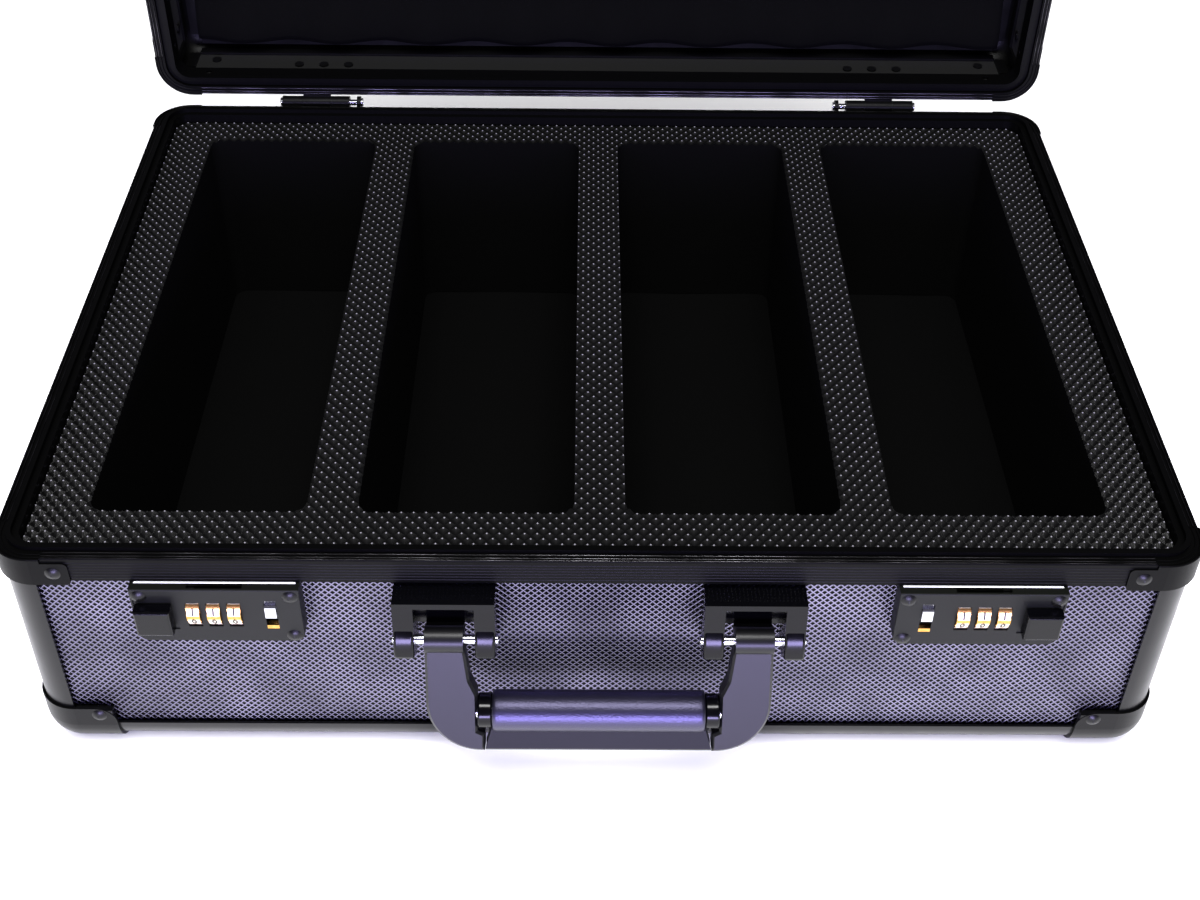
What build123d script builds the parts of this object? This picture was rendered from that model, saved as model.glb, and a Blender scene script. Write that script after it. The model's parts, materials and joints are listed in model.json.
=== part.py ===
from build123d import *
from math import cos, radians, sin
import os

os.makedirs("parts", exist_ok=True)

# Overall sizes, in mm. X is the case's width, Y runs from its front to its back, Z is up.
WIDTH = 457.0
DEPTH = 335.0
BASE_HEIGHT = 112.0
LID_HEIGHT = 44.0

# Clearances
GAP = 0.05  # between two fixed pieces that lie against each other
SLIP = 0.2  # round a loose piece in its pocket
RIVET_FIT = 0.05  # radial, rivet shank in its hole
PIN_FIT = 0.05  # radial, hinge and hasp pins in their knuckles
HANDLE_FIT = 0.06  # radial, handle pins
AXLE_FIT = 0.06  # radial, dials on their axle
LID_GAP = 0.1  # between the two rims when the case is shut

# Edge extrusions
PROUD = 1.2  # caps and rims stand this far outside the extrusions
EDGE_R = 15.0  # outer radius of the extrusions
WALL = 1.2  # extrusion and cap wall
PANEL_T = 4.8
PANEL_IN = 1.9  # panel's outer face below the extrusion's outer face
PANEL_EDGE = 11.0  # panel's edge to the extrusion's outer face
PANEL_FACE = PROUD + PANEL_IN  # panel's outer face below the rim's outer face
PANEL_BACK = PANEL_FACE + PANEL_T
POST_DROP = 13.1  # the posts end this far below the rim's top

# Rim
RIM_H = 11.4
RIM_T = 1.6
RIM_W = 9.2
RIM_BEAD = 0.4
CORNER_LEG = 20.5  # rim corner piece, from the side's outer face
FLANGE_LEG = 30.5  # its riveted flange
CORNER_PROUD = 0.8
TONGUE_U = (4.6, 6.6)
TONGUE_H = 1.6
GROOVE_FIT = 0.3

# Corner caps
CAP_X = 32.6
CAP_Z = 26.0
CAP_BOTTOM = 32.0
CAP_RIVET_U = 26.0
CAP_RIVET_Z = 22.2
PAD_IN = 16.4
PAD_OUT_U = 31.5
PAD_OUT_Z = 24.8

# Foam
SLOT_W = 84.0
SLOT_L = 276.0
SLOT_PITCH = 104.0
SLOT_Y = 2.0
SLOT_R = 6.0
FOAM_TOP = 4.0  # below the rim's top
FOAM_SIDE = 9.5  # from the rim's outer face
PAD_T = 5.0
EGG_T = 12.0

# Hinges
HINGE_X = 145.25
HINGE_OUT = 4.2  # pin's axis behind the rim's back face
KNUCKLE_R = 3.2
HINGE_PIN_R = 1.55
LEAF_W = 40.9
LEAF_T = 1.4
LEAF_H = 23.0
LEAF_OFF = 0.1  # leaf off the rim's face

# Handle
BRACKET_X = 58.7
BRACKET_W = 38.6
LUG_W = 7.8
PIVOT_OUT = 7.0  # pivot in front of the rim's front face
PIVOT_Z = BASE_HEIGHT - 35.0
LUG_BOTTOM = PIVOT_Z - 8.5
BRACKET_TOP = PIVOT_Z + 20.5
BRACKET_RIVET_Z = PIVOT_Z + 11.0
HANDLE_PIN_R = 2.0
ARM_W = 14.8
ARM_T = 8.0
KNOB_R = 5.5
TILT = 20.0
REACH = 47.0  # pivot to the handle's outer edge
GRIP_DROP = 31.0
GRIP_R = 8.25
GRIP_HALF = 41.2
ROD_R = 3.5
FERRULE_R = 7.0

# Locks
LOCK_Z0 = BASE_HEIGHT - 39.9
LOCK_Z1 = BASE_HEIGHT - 12.0
LOCK_OUT = 4.1  # plate's face in front of the rim's front face
LOCK_WALL = 1.0
DIAL_R = 8.0
DIAL_W = 5.0
DIAL_PITCH = 7.75
DIAL_X = 138.1
DIAL_Z = BASE_HEIGHT - 25.4
DIAL_PROUD = 1.6
DIAL_ROOM = 0.4  # between a dial and the ends of its window
AXLE_R = 1.3
CASE_X = (DIAL_X - 18.1, DIAL_X + 2 * DIAL_PITCH + DIAL_W / 2 + 2.9)
CASE_Z = (DIAL_Z - DIAL_R - 1.4, DIAL_Z + DIAL_R + 1.6)
CASE_BACK = 2 * DIAL_R - DIAL_PROUD - LOCK_OUT - PANEL_FACE + 1.8  # behind the panel's outer face
BUTTON_X = (CASE_X[1] + 2.3, CASE_X[1] + 16.0)
BUTTON_Z = (DIAL_Z - 6.6, DIAL_Z + 6.0)
BUTTON_PROUD = 5.2
BOLT_TRAVEL = 4.0
LOCK_BOSS_R = 2.8  # round each rivet, inside the housing
LOCK_RIVET_DROP = 3.6  # of the upper rivets below the housing's top
LEVER_X = (CASE_X[0] + 2.0, CASE_X[0] + 6.6)
LEVER_SLOT_Z = (DIAL_Z - 7.5, DIAL_Z + 7.7)
LEVER_Z = (DIAL_Z - 1.4, DIAL_Z + 5.4)
LOCK_X = (CASE_X[0] + BUTTON_X[1] - 5.7) / 2
LOCK_W = BUTTON_X[1] - CASE_X[0] + 8.7

# Hasps
HASP_W = 36.0
TONGUE_W = 20.0
TONGUE_T = 1.4
HASP_PIVOT_UP = 18.0  # above the parting plane
HASP_PIVOT_OUT = 4.4
HASP_TIP = DIAL_Z + DIAL_R  # the dials' rims curve away below it
HASP_RIVET_UP = 23.9
HASP_PLATE_UP = 27.5

# Rivets
RIVET_R = 1.55
RIVET_HEAD_R = 3.0
RIVET_HEAD_H = 1.2
RIVET_TAIL_R = 2.4
RIVET_TAIL_H = 0.8

HX = WIDTH / 2
HY = DEPTH / 2
HINGE_Y = HY + HINGE_OUT
HINGE_Z = BASE_HEIGHT
PIVOT_Y = -HY - PIVOT_OUT
PANEL_Y = -HY + PANEL_FACE
LOCK_Y = -HY - LOCK_OUT
HASP_PIVOT_Z = BASE_HEIGHT + LID_GAP + HASP_PIVOT_UP
HASP_PIVOT_Y = -HY - HASP_PIVOT_OUT

# The origin is under the middle of the whole open case, from the handle to the lid's top.
HANDLE_FRONT = PIVOT_Y - REACH * sin(radians(TILT)) - ARM_T / 2 * cos(radians(TILT))
SHIFT_Y = -(HANDLE_FRONT + HINGE_Y + LID_GAP + LID_HEIGHT) / 2


def slab(x, y, z):
    """A box between pairs of limits, each given in either order."""
    spans = [abs(b - a) for a, b in (x, y, z)]
    return Pos(sum(x) / 2, sum(y) / 2, sum(z) / 2) * Box(*spans)


def area(x, y):
    """A rectangle between pairs of limits."""
    return Pos(sum(x) / 2, sum(y) / 2) * Rectangle(abs(x[1] - x[0]), abs(y[1] - y[0]))


def rod_x(r, x0, x1, y, z):
    """A cylinder along X."""
    return Pos((x0 + x1) / 2, y, z) * Rot(0, 90, 0) * Cylinder(r, abs(x1 - x0))


def mirrored(shape):
    """A shape and its copy on the other side of the case's middle."""
    return [shape, mirror(shape, Plane.YZ)]


def four(shape):
    """A shape near the left front corner, repeated at all four corners."""
    pair = mirrored(shape)
    return pair + [mirror(s, Plane.XZ) for s in pair]


def save(name, pieces):
    """Writes one node: a piece or a group of identical pieces."""
    pieces = pieces if isinstance(pieces, list) else [pieces]
    solids = [Pos(0, SHIFT_Y, 0) * s for piece in pieces for s in piece.solids()]
    whole = solids[0] if len(solids) == 1 else Compound(solids)
    export_step(whole, f"parts/{name}.step")


def opened(shape):
    """Swings a lid piece, modelled with the case shut, to the open rest position."""
    at_axis = Pos(0, HINGE_Y, HINGE_Z)
    return at_axis * Rot(-90, 0, 0) * at_axis.inverse() * shape


def lid_tray(shape):
    """Places a piece of a tray, modelled mouth up, on the shut base, mouth down."""
    return Pos(0, 0, BASE_HEIGHT + LID_GAP + LID_HEIGHT) * Rot(180, 0, 0) * shape


def rivet(grip):
    """A domed rivet along Z: its head sits on z = 0 and its tail is closed at -grip."""
    dome_r = (RIVET_HEAD_R**2 + RIVET_HEAD_H**2) / (2 * RIVET_HEAD_H)
    dome = Pos(0, 0, RIVET_HEAD_H - dome_r) * Sphere(dome_r)
    dome = dome & Pos(0, 0, RIVET_HEAD_H / 2) * Cylinder(RIVET_HEAD_R + 1, RIVET_HEAD_H)
    shank = Pos(0, 0, -grip / 2) * Cylinder(RIVET_R, grip + 4 * GAP)
    tail = Pos(0, 0, -grip - RIVET_TAIL_H / 2) * Cylinder(RIVET_TAIL_R, RIVET_TAIL_H)
    return Pos(0, 0, GAP) * dome + shank + Pos(0, 0, -GAP) * tail


def facing(x, y, z, direction):
    """Where a rivet stands: its head faces along the direction."""
    return Location(Plane(origin=(x, y, z), z_dir=direction))


def hole(x, y, z, direction):
    """The hole that takes a rivet's shank."""
    return facing(x, y, z, direction) * Cylinder(RIVET_R + RIVET_FIT, 40)


def edge_profile():
    """Section of the extrusion: a quarter-round shell with a groove for each of two panels."""
    ring = Pos(EDGE_R, EDGE_R) * (Circle(EDGE_R) - Circle(EDGE_R - WALL))
    ring = ring & area((0, EDGE_R), (0, EDGE_R))
    inner = PANEL_IN + PANEL_T + 2 * GAP
    web_end = PANEL_EDGE - GAP
    web_start = web_end - WALL
    hook = area((web_start, web_end), (WALL, inner + WALL))
    hook += area((web_start, EDGE_R), (inner, inner + WALL))
    other = area((WALL, inner + WALL), (web_start, web_end))
    other += area((inner, inner + WALL), (web_start, EDGE_R))
    return ring + hook + other


def rim_profile(top, tongue, band_drop, band_out, lip):
    """Section of the rim: x runs inward from the outer face, y is up to the rim's top."""
    plate_top = top - RIM_BEAD
    plate = RIM_T if tongue else RIM_T + 2
    section = area((-band_out, RIM_T), (top - band_drop, plate_top))
    section += area((-band_out, RIM_W), (plate_top - plate, plate_top))
    section += area((RIM_W - WALL, RIM_W), (top - RIM_H, plate_top))
    if lip:
        section += area((0, PANEL_FACE - GAP), (top - RIM_H, top - RIM_H + WALL))
    for u in (0.55, 1.7, 3.4):
        section += Pos(u - band_out, plate_top) * Circle(RIM_BEAD)
    if tongue:
        return section + area(TONGUE_U, (plate_top - WALL, top + TONGUE_H))
    groove = (TONGUE_U[0] - GROOVE_FIT, TONGUE_U[1] + GROOVE_FIT)
    return section - area(groove, (top - 2.4, top + 1))


def rails(top, tongue):
    """The four straight rails of a rim."""
    section = rim_profile(top, tongue, RIM_H, 0, True)
    half_x = HX - CORNER_LEG - GAP
    half_y = HY - CORNER_LEG - GAP
    front = Plane(origin=(-half_x, -HY, 0), x_dir=(0, 1, 0), z_dir=(1, 0, 0))
    side = Plane(origin=(-HX, half_y, 0), x_dir=(1, 0, 0), z_dir=(0, -1, 0))
    long_rail = extrude(front * section, 2 * half_x)
    short_rail = extrude(side * section, 2 * half_y)
    holes = hole(-HX + CORNER_LEG + 4, -HY, top - 7, (0, -1, 0))
    long_rail -= holes + mirror(holes, Plane.YZ)
    holes = hole(-HX, -HY + CORNER_LEG + 4, top - 7, (-1, 0, 0))
    short_rail -= holes + mirror(holes, Plane.XZ)
    return [long_rail, mirror(long_rail, Plane.XZ)] + mirrored(short_rail)


def rim_corner(top, tongue):
    """The left front corner piece of a rim, with its two riveted flanges."""
    section = rim_profile(top, tongue, POST_DROP - 0.1, CORNER_PROUD, False)
    turn = EDGE_R + PROUD
    at = Plane(origin=(-HX + turn, -HY, 0), x_dir=(0, 1, 0), z_dir=(1, 0, 0))
    axis = Axis((-HX + turn, -HY + turn, 0), (0, 0, 1))
    bend = revolve(at * section, axis, -90)
    leg = extrude(at * section, CORNER_LEG - turn)
    flange_z = (top - POST_DROP + 0.1, top - 2.0)
    flange_x = (-HX + CORNER_LEG - 1, -HX + FLANGE_LEG)
    flange = slab(flange_x, (-HY - CORNER_PROUD, -HY - GAP), flange_z)
    corner = flange.edges().filter_by(Axis.Y).group_by(Axis.X)[-1]
    flange = fillet(corner, 2.0)
    leg = leg + flange - hole(-HX + CORNER_LEG + 4, -HY, top - 7, (0, -1, 0))
    swap = Plane(origin=(-HX, -HY, 0), z_dir=(1, -1, 0))
    return bend + leg + mirror(leg, swap)


def rounded_block(corner, size, r):
    """A block with one vertex and its three edges rounded."""
    x, y, z = corner
    block = slab((x, x + size), (y, y + size), (z, z + size))
    near = []
    for edge in block.edges():
        c = edge.center()
        hits = [abs(c.X - x) < 1e-3, abs(c.Y - y) < 1e-3, abs(c.Z - z) < 1e-3]
        if sum(hits) == 2:
            near.append(edge)
    return fillet(near, r)


def corner_cap():
    """The pressed cap on the left front bottom corner."""
    outer = rounded_block((-HX, -HY, 0), 60, EDGE_R + PROUD)
    start = PROUD - GAP
    inner = rounded_block((-HX + start, -HY + start, start), 90, EDGE_R + GAP)
    turn = EDGE_R + PROUD
    front = slab((-HX - 1, -HX + CAP_X), (-HY - 1, -HY + turn), (-1, CAP_Z))
    far = front.edges().filter_by(Axis.Y).group_by(Axis.X)[-1].group_by(Axis.Z)[-1]
    front = fillet(far, 8.0)
    side = mirror(front, Plane(origin=(-HX, -HY, 0), z_dir=(1, -1, 0)))
    below = slab((-HX - 1, -HX + CAP_BOTTOM), (-HY - 1, -HY + CAP_BOTTOM), (-1, turn))
    far = below.edges().filter_by(Axis.Z).group_by(Axis.X)[-1].group_by(Axis.Y)[-1]
    below = fillet(far, 10.0)
    cap = (outer - inner) & (front + side + below)
    seat = PANEL_FACE - GAP
    pad = (-HX + PAD_IN, -HX + PAD_OUT_U)
    pad_y = (-HY + PAD_IN, -HY + PAD_OUT_U)
    cap += slab(pad, (-HY + 0.2, -HY + seat), (PAD_IN, PAD_OUT_Z))
    cap += slab((-HX + 0.2, -HX + seat), pad_y, (PAD_IN, PAD_OUT_Z))
    cap += slab((pad[0], pad[1] - 4), (pad_y[0], pad_y[1] - 4), (0.2, seat))
    cap -= hole(-HX + CAP_RIVET_U, -HY, CAP_RIVET_Z, (0, -1, 0))
    cap -= hole(-HX, -HY + CAP_RIVET_U, CAP_RIVET_Z, (-1, 0, 0))
    return cap


def corner_rivets(top):
    """Rivets of one corner: two in its cap and two in its rim piece."""
    long_grip = PANEL_BACK + GAP
    short_grip = CORNER_PROUD + RIM_T + GAP
    pieces = [
        facing(-HX + CAP_RIVET_U, -HY, CAP_RIVET_Z, (0, -1, 0)) * rivet(long_grip),
        facing(-HX, -HY + CAP_RIVET_U, CAP_RIVET_Z, (-1, 0, 0)) * rivet(long_grip),
    ]
    out = CORNER_PROUD
    u = CORNER_LEG + 4
    pieces.append(facing(-HX + u, -HY - out, top - 7, (0, -1, 0)) * rivet(short_grip))
    pieces.append(facing(-HX - out, -HY + u, top - 7, (-1, 0, 0)) * rivet(short_grip))
    return pieces


def tray(height, tongue):
    """One half of the case, mouth up: panels, extrusions, rim, caps and rivets."""
    ex, ey, ez = HX - PROUD, HY - PROUD, PROUD
    section = edge_profile()
    post = Pos(-ex, -ey, ez + EDGE_R) * extrude(section, height - POST_DROP - ez - EDGE_R)
    run_x, run_y = ex - EDGE_R, ey - EDGE_R
    front = Plane(origin=(-run_x, -ey, ez), x_dir=(0, 1, 0), z_dir=(1, 0, 0))
    side = Plane(origin=(-ex, run_y, ez), x_dir=(1, 0, 0), z_dir=(0, -1, 0))
    long_edge = extrude(front * section, 2 * run_x)
    short_edge = extrude(side * section, 2 * run_y)

    panel_top = height - RIM_BEAD - RIM_T - 2 - 0.4
    z = (ez + PANEL_EDGE, panel_top)
    y = (-ey + PANEL_IN, -ey + PANEL_IN + PANEL_T)
    wide = slab((-ex + PANEL_EDGE, ex - PANEL_EDGE), y, z)
    holes = hole(-HX + CAP_RIVET_U, -HY, CAP_RIVET_Z, (0, -1, 0))
    wide -= holes + mirror(holes, Plane.YZ)
    x = (-ex + PANEL_IN, -ex + PANEL_IN + PANEL_T)
    narrow = slab(x, (-ey + PANEL_EDGE, ey - PANEL_EDGE), z)
    holes = hole(-HX, -HY + CAP_RIVET_U, CAP_RIVET_Z, (-1, 0, 0))
    narrow -= holes + mirror(holes, Plane.XZ)
    floor_z = (ez + PANEL_IN, ez + PANEL_IN + PANEL_T)
    floor_x = (-ex + PANEL_EDGE, ex - PANEL_EDGE)
    floor_y = (-ey + PANEL_EDGE, ey - PANEL_EDGE)

    rivets = []
    for piece in corner_rivets(height):
        rivets += four(piece)
    return {
        "bottom": slab(floor_x, floor_y, floor_z),
        "front": wide,
        "back": mirror(wide, Plane.XZ),
        "left": narrow,
        "right": mirror(narrow, Plane.YZ),
        "edges": [long_edge, mirror(long_edge, Plane.XZ)] + mirrored(short_edge),
        "posts": four(post),
        "rails": rails(height, tongue),
        "corners": four(rim_corner(height, tongue)),
        "caps": four(corner_cap()),
        "rivets": rivets,
    }


def foam_insert():
    """The thick foam block, with four slots and pockets for the two lock cases."""
    half_x, half_y = HX - FOAM_SIDE, HY - FOAM_SIDE
    low = PANEL_BACK + PAD_T + 2 * GAP
    high = BASE_HEIGHT - FOAM_TOP
    block = slab((-half_x, half_x), (-half_y, half_y), (low, high))
    block = fillet(block.edges().filter_by(Axis.Z), EDGE_R + PROUD - FOAM_SIDE)
    for i in range(4):
        x = (i - 1.5) * SLOT_PITCH
        cut = extrude(Pos(x, SLOT_Y) * RectangleRounded(SLOT_W, SLOT_L, SLOT_R), high)
        block -= cut
    case_back = PANEL_Y + CASE_BACK
    pocket_x = (CASE_X[0] - 1, CASE_X[1] + 1)
    pocket = slab(pocket_x, (-HY, case_back + 1), (CASE_Z[0] - 1, CASE_Z[1] + 1))
    for side in mirrored(pocket):
        block -= side
    return block


def floor_pad():
    """The thin foam pad that lies on the floor panel, inside the edge extrusions."""
    half_x = HX - PROUD - EDGE_R - SLIP
    half_y = HY - PROUD - EDGE_R - SLIP
    z = (PANEL_BACK + GAP, PANEL_BACK + GAP + PAD_T)
    return slab((-half_x, half_x), (-half_y, half_y), z)


def egg_crate():
    """The foam slab under the lid's top, in tray coordinates."""
    half_x = HX - PROUD - EDGE_R - SLIP
    half_y = HY - PROUD - EDGE_R - SLIP
    z = (PANEL_BACK + GAP, PANEL_BACK + GAP + EGG_T)
    return slab((-half_x, half_x), (-half_y, half_y), z)


HINGE_SPLITS = (-LEAF_W / 2, -18.6, -14.6, -4.7, 9.7, LEAF_W / 2)


def hinge_rivet_spots():
    """Rivet centres of a leaf: along X from the hinge's middle, and from the parting plane."""
    return [(dx, 17.5) for dx in (-13.0, 0.0, 13.0)]


def base_leaf():
    """The base leaf of the right hinge: two knuckles, a thin ear and the stop's seat."""
    x0 = HINGE_X
    y = (HY + LEAF_OFF, HY + LEAF_OFF + LEAF_T)
    leaf = slab((x0 - LEAF_W / 2, x0 + LEAF_W / 2), y, (HINGE_Z - LEAF_H, HINGE_Z))
    spacer_y = (HY - PANEL_FACE + GAP, HY + LEAF_OFF + LEAF_T)
    spacer_z = (HINGE_Z - LEAF_H, HINGE_Z - RIM_H - SLIP)
    leaf += slab((x0 - LEAF_W / 2, x0 + LEAF_W / 2), spacer_y, spacer_z)
    spans = (HINGE_SPLITS[0:2], HINGE_SPLITS[2:4], HINGE_SPLITS[4:6])
    centre_cut = (x0 + HINGE_SPLITS[3] - SLIP, x0 + HINGE_SPLITS[4] + SLIP)
    leaf -= slab(centre_cut, (HY, HY + 4), (HINGE_Z - 2.6, HINGE_Z + 1))
    open_cut = (x0 + HINGE_SPLITS[1], x0 + HINGE_SPLITS[2])
    leaf -= slab(open_cut, (HY, HY + 4), (HINGE_Z - 4.0, HINGE_Z + 1))
    for low, high in spans:
        leaf += rod_x(KNUCKLE_R, x0 + low, x0 + high, HINGE_Y, HINGE_Z)
    leaf -= rod_x(HINGE_PIN_R + PIN_FIT, x0 - 30, x0 + 30, HINGE_Y, HINGE_Z)
    for dx, drop in hinge_rivet_spots():
        leaf -= hole(x0 + dx, HY, HINGE_Z - drop, (0, 1, 0))
    return leaf


def lid_leaf():
    """The lid leaf of the right hinge, case shut: one knuckle with a heel that stops the lid."""
    x0 = HINGE_X
    y = (HY + LEAF_OFF, HY + LEAF_OFF + LEAF_T)
    foot = HINGE_Z + KNUCKLE_R + 0.6
    top = HINGE_Z + LID_GAP + LEAF_H
    leaf = slab((x0 - LEAF_W / 2, x0 + LEAF_W / 2), y, (foot, top))
    spacer_y = (HY - PANEL_FACE + GAP, HY + LEAF_OFF + LEAF_T)
    spacer_z = (HINGE_Z + LID_GAP + RIM_H + SLIP, top)
    leaf += slab((x0 - LEAF_W / 2, x0 + LEAF_W / 2), spacer_y, spacer_z)
    span = (x0 + HINGE_SPLITS[3] + SLIP / 2, x0 + HINGE_SPLITS[4] - SLIP / 2)
    leaf += slab(span, y, (HINGE_Z + LID_GAP, foot + 1))
    leaf += rod_x(KNUCKLE_R, span[0], span[1], HINGE_Y, HINGE_Z)
    stop = HINGE_OUT - LEAF_OFF - LEAF_T - GAP
    heel = slab(span, (HINGE_Y, HINGE_Y + 4.6), (HINGE_Z - stop, HINGE_Z))
    heel -= slab((span[0] - 1, span[1] + 1), (HINGE_Y + 2, HINGE_Y + 5), (HINGE_Z - 1.2, HINGE_Z))
    leaf += heel
    leaf -= rod_x(HINGE_PIN_R + PIN_FIT, x0 - 30, x0 + 30, HINGE_Y, HINGE_Z)
    for dx, rise in hinge_rivet_spots():
        leaf -= hole(x0 + dx, HY, HINGE_Z + LID_GAP + rise, (0, 1, 0))
    return leaf


def hinge_pin():
    """The right hinge's pin, with a small head at each end."""
    half = LEAF_W / 2 + 0.3
    pin = rod_x(HINGE_PIN_R, HINGE_X - half, HINGE_X + half, HINGE_Y, HINGE_Z)
    for side in (-1, 1):
        face = HINGE_X + side * half
        pin += rod_x(HINGE_PIN_R + 0.7, face, face + side * 0.8, HINGE_Y, HINGE_Z)
    return pin


def hinge_rivets(sign):
    """The right hinge's rivets: sign -1 for the base leaf and 1 for the lid leaf."""
    edge = HINGE_Z if sign < 0 else HINGE_Z + LID_GAP
    grip = PANEL_BACK + LEAF_OFF + LEAF_T + GAP
    face = HY + LEAF_OFF + LEAF_T
    spots = hinge_rivet_spots()
    return [facing(HINGE_X + dx, face, edge + sign * d, (0, 1, 0)) * rivet(grip) for dx, d in spots]


def handle_bracket():
    """The right bracket: a cast cheek on each side of the handle's knuckle, joined at the top."""
    back = PANEL_Y - GAP
    nose, crown = (PIVOT_Y - 7.5, PIVOT_Z - 3), (PIVOT_Y - 3.5, PIVOT_Z + 8)
    swell = ThreePointArc(nose, (PIVOT_Y - 6.47, PIVOT_Z + 2.8), crown)
    sides = Polyline(
        crown, (PIVOT_Y - 1.5, BRACKET_TOP), (back, BRACKET_TOP),
        (back, LUG_BOTTOM), (PIVOT_Y - 1, LUG_BOTTOM), nose,
    )
    x0 = BRACKET_X - BRACKET_W / 2
    outline = Plane(origin=(x0, 0, 0), x_dir=(0, 1, 0), z_dir=(1, 0, 0)) * make_face(swell + sides)
    body = extrude(outline, BRACKET_W)
    rounding = body.edges().filter_by(Axis.X).group_by(Axis.Y)[0]
    body = fillet(rounding, 2.2)
    gap_x = (x0 + LUG_W, x0 + BRACKET_W - LUG_W - GAP)
    stop_face = back - 3.1
    body -= slab(gap_x, (PIVOT_Y - 20, stop_face), (LUG_BOTTOM - 1, BRACKET_TOP - 2.3))
    body -= slab(gap_x, (PIVOT_Y - 20, back + 1), (LUG_BOTTOM - 1, PIVOT_Z + 2.1))
    soft = body.edges().filter_by(GeomType.CIRCLE).filter_by(lambda edge: edge.center().Y < PIVOT_Y - 4)
    body = fillet(soft, 1.2)
    body -= rod_x(HANDLE_PIN_R + HANDLE_FIT, x0 - 1, x0 + BRACKET_W + 1, PIVOT_Y, PIVOT_Z)
    for x in (x0 + LUG_W / 2, x0 + BRACKET_W - LUG_W / 2):
        body -= Pos(x, back - 2.5, BRACKET_RIVET_Z) * Rot(90, 0, 0) * Cylinder(RIVET_R + RIVET_FIT, 5.4)
    return body


def bracket_rivets():
    """Studs of the right bracket: a flat head inside the case, a shank in each cheek."""
    x0 = BRACKET_X - BRACKET_W / 2
    head_face = -HY + PANEL_BACK + GAP
    studs = []
    for x in (x0 + LUG_W / 2, x0 + BRACKET_W - LUG_W / 2):
        shank = Pos(x, 0, BRACKET_RIVET_Z) * Rot(90, 0, 0) * Cylinder(RIVET_R, 10)
        shank = Pos(0, head_face - 4.9, 0) * shank
        head = Pos(x, head_face + 0.35, BRACKET_RIVET_Z) * Rot(90, 0, 0) * Cylinder(RIVET_TAIL_R, 0.7)
        studs.append(shank + head)
    return studs


def handle_pin():
    """The right bracket's bright pin."""
    half = BRACKET_W / 2 + 1.0
    pin = rod_x(HANDLE_PIN_R, BRACKET_X - half, BRACKET_X + half, PIVOT_Y, PIVOT_Z)
    ends = pin.edges().filter_by(GeomType.CIRCLE)
    return chamfer(ends, 0.4)


def hung(shape):
    """Places a handle piece, modelled hanging straight down from its pivot, at rest."""
    return Pos(0, PIVOT_Y, PIVOT_Z) * Rot(-TILT, 0, 0) * shape


def handle_arm():
    """The right arm: a knuckle, a flat cranked arm and the end that meets the grip."""
    out = BRACKET_X + ARM_W / 2 + 0.5
    inn = out - ARM_W
    end = GRIP_HALF + 3.0
    ferrule_end = GRIP_HALF + 5.6
    outline = Polyline(
        (inn, 0), (inn - 2.1, -16.0), (ferrule_end + 0.1, -22.5),
        (ferrule_end + 0.1, -GRIP_DROP - 7.2), (end, -GRIP_DROP - 8.6), (end, -REACH),
        (out, -REACH), (out, 0), close=True,
    )
    face = make_face(outline)
    big = [v for v in face.vertices() if abs(v.X - out) < 1e-3 and v.Y < -REACH + 1]
    face = fillet(big, 21.0)
    upright = Plane(origin=(0, ARM_T / 2, 0), x_dir=(1, 0, 0), z_dir=(0, -1, 0)) * face
    arm = extrude(upright, ARM_T)
    arm = chamfer(arm.faces().sort_by(Axis.Y)[0].edges(), 1.0)
    arm += rod_x(KNOB_R, inn, out, 0, 0)
    nose = slab((inn, out), (0, 8.4), (-2.4, 1.4))
    arm += Rot(TILT, 0, 0) * nose
    arm -= rod_x(HANDLE_PIN_R + HANDLE_FIT, inn - 1, out + 1, 0, 0)
    arm -= rod_x(ROD_R + RIVET_FIT, 0, ferrule_end + 8, 0, -GRIP_DROP)
    return arm


def handle_rod():
    """The steel rod through the grip, with its ends in the two arms."""
    half = GRIP_HALF + 5.6 + 7.8
    return rod_x(ROD_R, -half, half, 0, -GRIP_DROP)


def handle_grip():
    """The grip: a round bolster with a flat lower web, on the rod."""
    grip = rod_x(GRIP_R, -GRIP_HALF, GRIP_HALF, 0, -GRIP_DROP)
    web_half = GRIP_HALF + 2.9
    web = slab((-web_half, web_half), (-ARM_T / 2, ARM_T / 2), (-REACH, -GRIP_DROP - 8.7))
    web += slab((-GRIP_HALF, GRIP_HALF), (-ARM_T / 2, ARM_T / 2), (-REACH + 4, -GRIP_DROP))
    lower = web.edges().filter_by(Axis.X).group_by(Axis.Z)[0]
    web = fillet(lower, 1.6)
    return grip + web - rod_x(ROD_R + RIVET_FIT, -60, 60, 0, -GRIP_DROP)


def ferrule():
    """The right ferrule: a turned collar between the grip's end and the arm."""
    x = (GRIP_HALF + GAP, GRIP_HALF + 5.6)
    ring = rod_x(FERRULE_R, x[0], x[1], 0, -GRIP_DROP)
    ring = fillet(ring.edges().filter_by(GeomType.CIRCLE), 0.8)
    return ring - rod_x(ROD_R + RIVET_FIT, 0, 60, 0, -GRIP_DROP)


def lock_rivet_spots():
    """Rivets of the right lock plate: two at the top and one at the inner bottom."""
    low, high = LOCK_X - LOCK_W / 2, LOCK_X + LOCK_W / 2
    top = LOCK_Z1 - LOCK_RIVET_DROP
    return [(high - 3.4, top), (low + 3.6, top), (low + 3.9, LOCK_Z0 + 3.3)]


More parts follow.
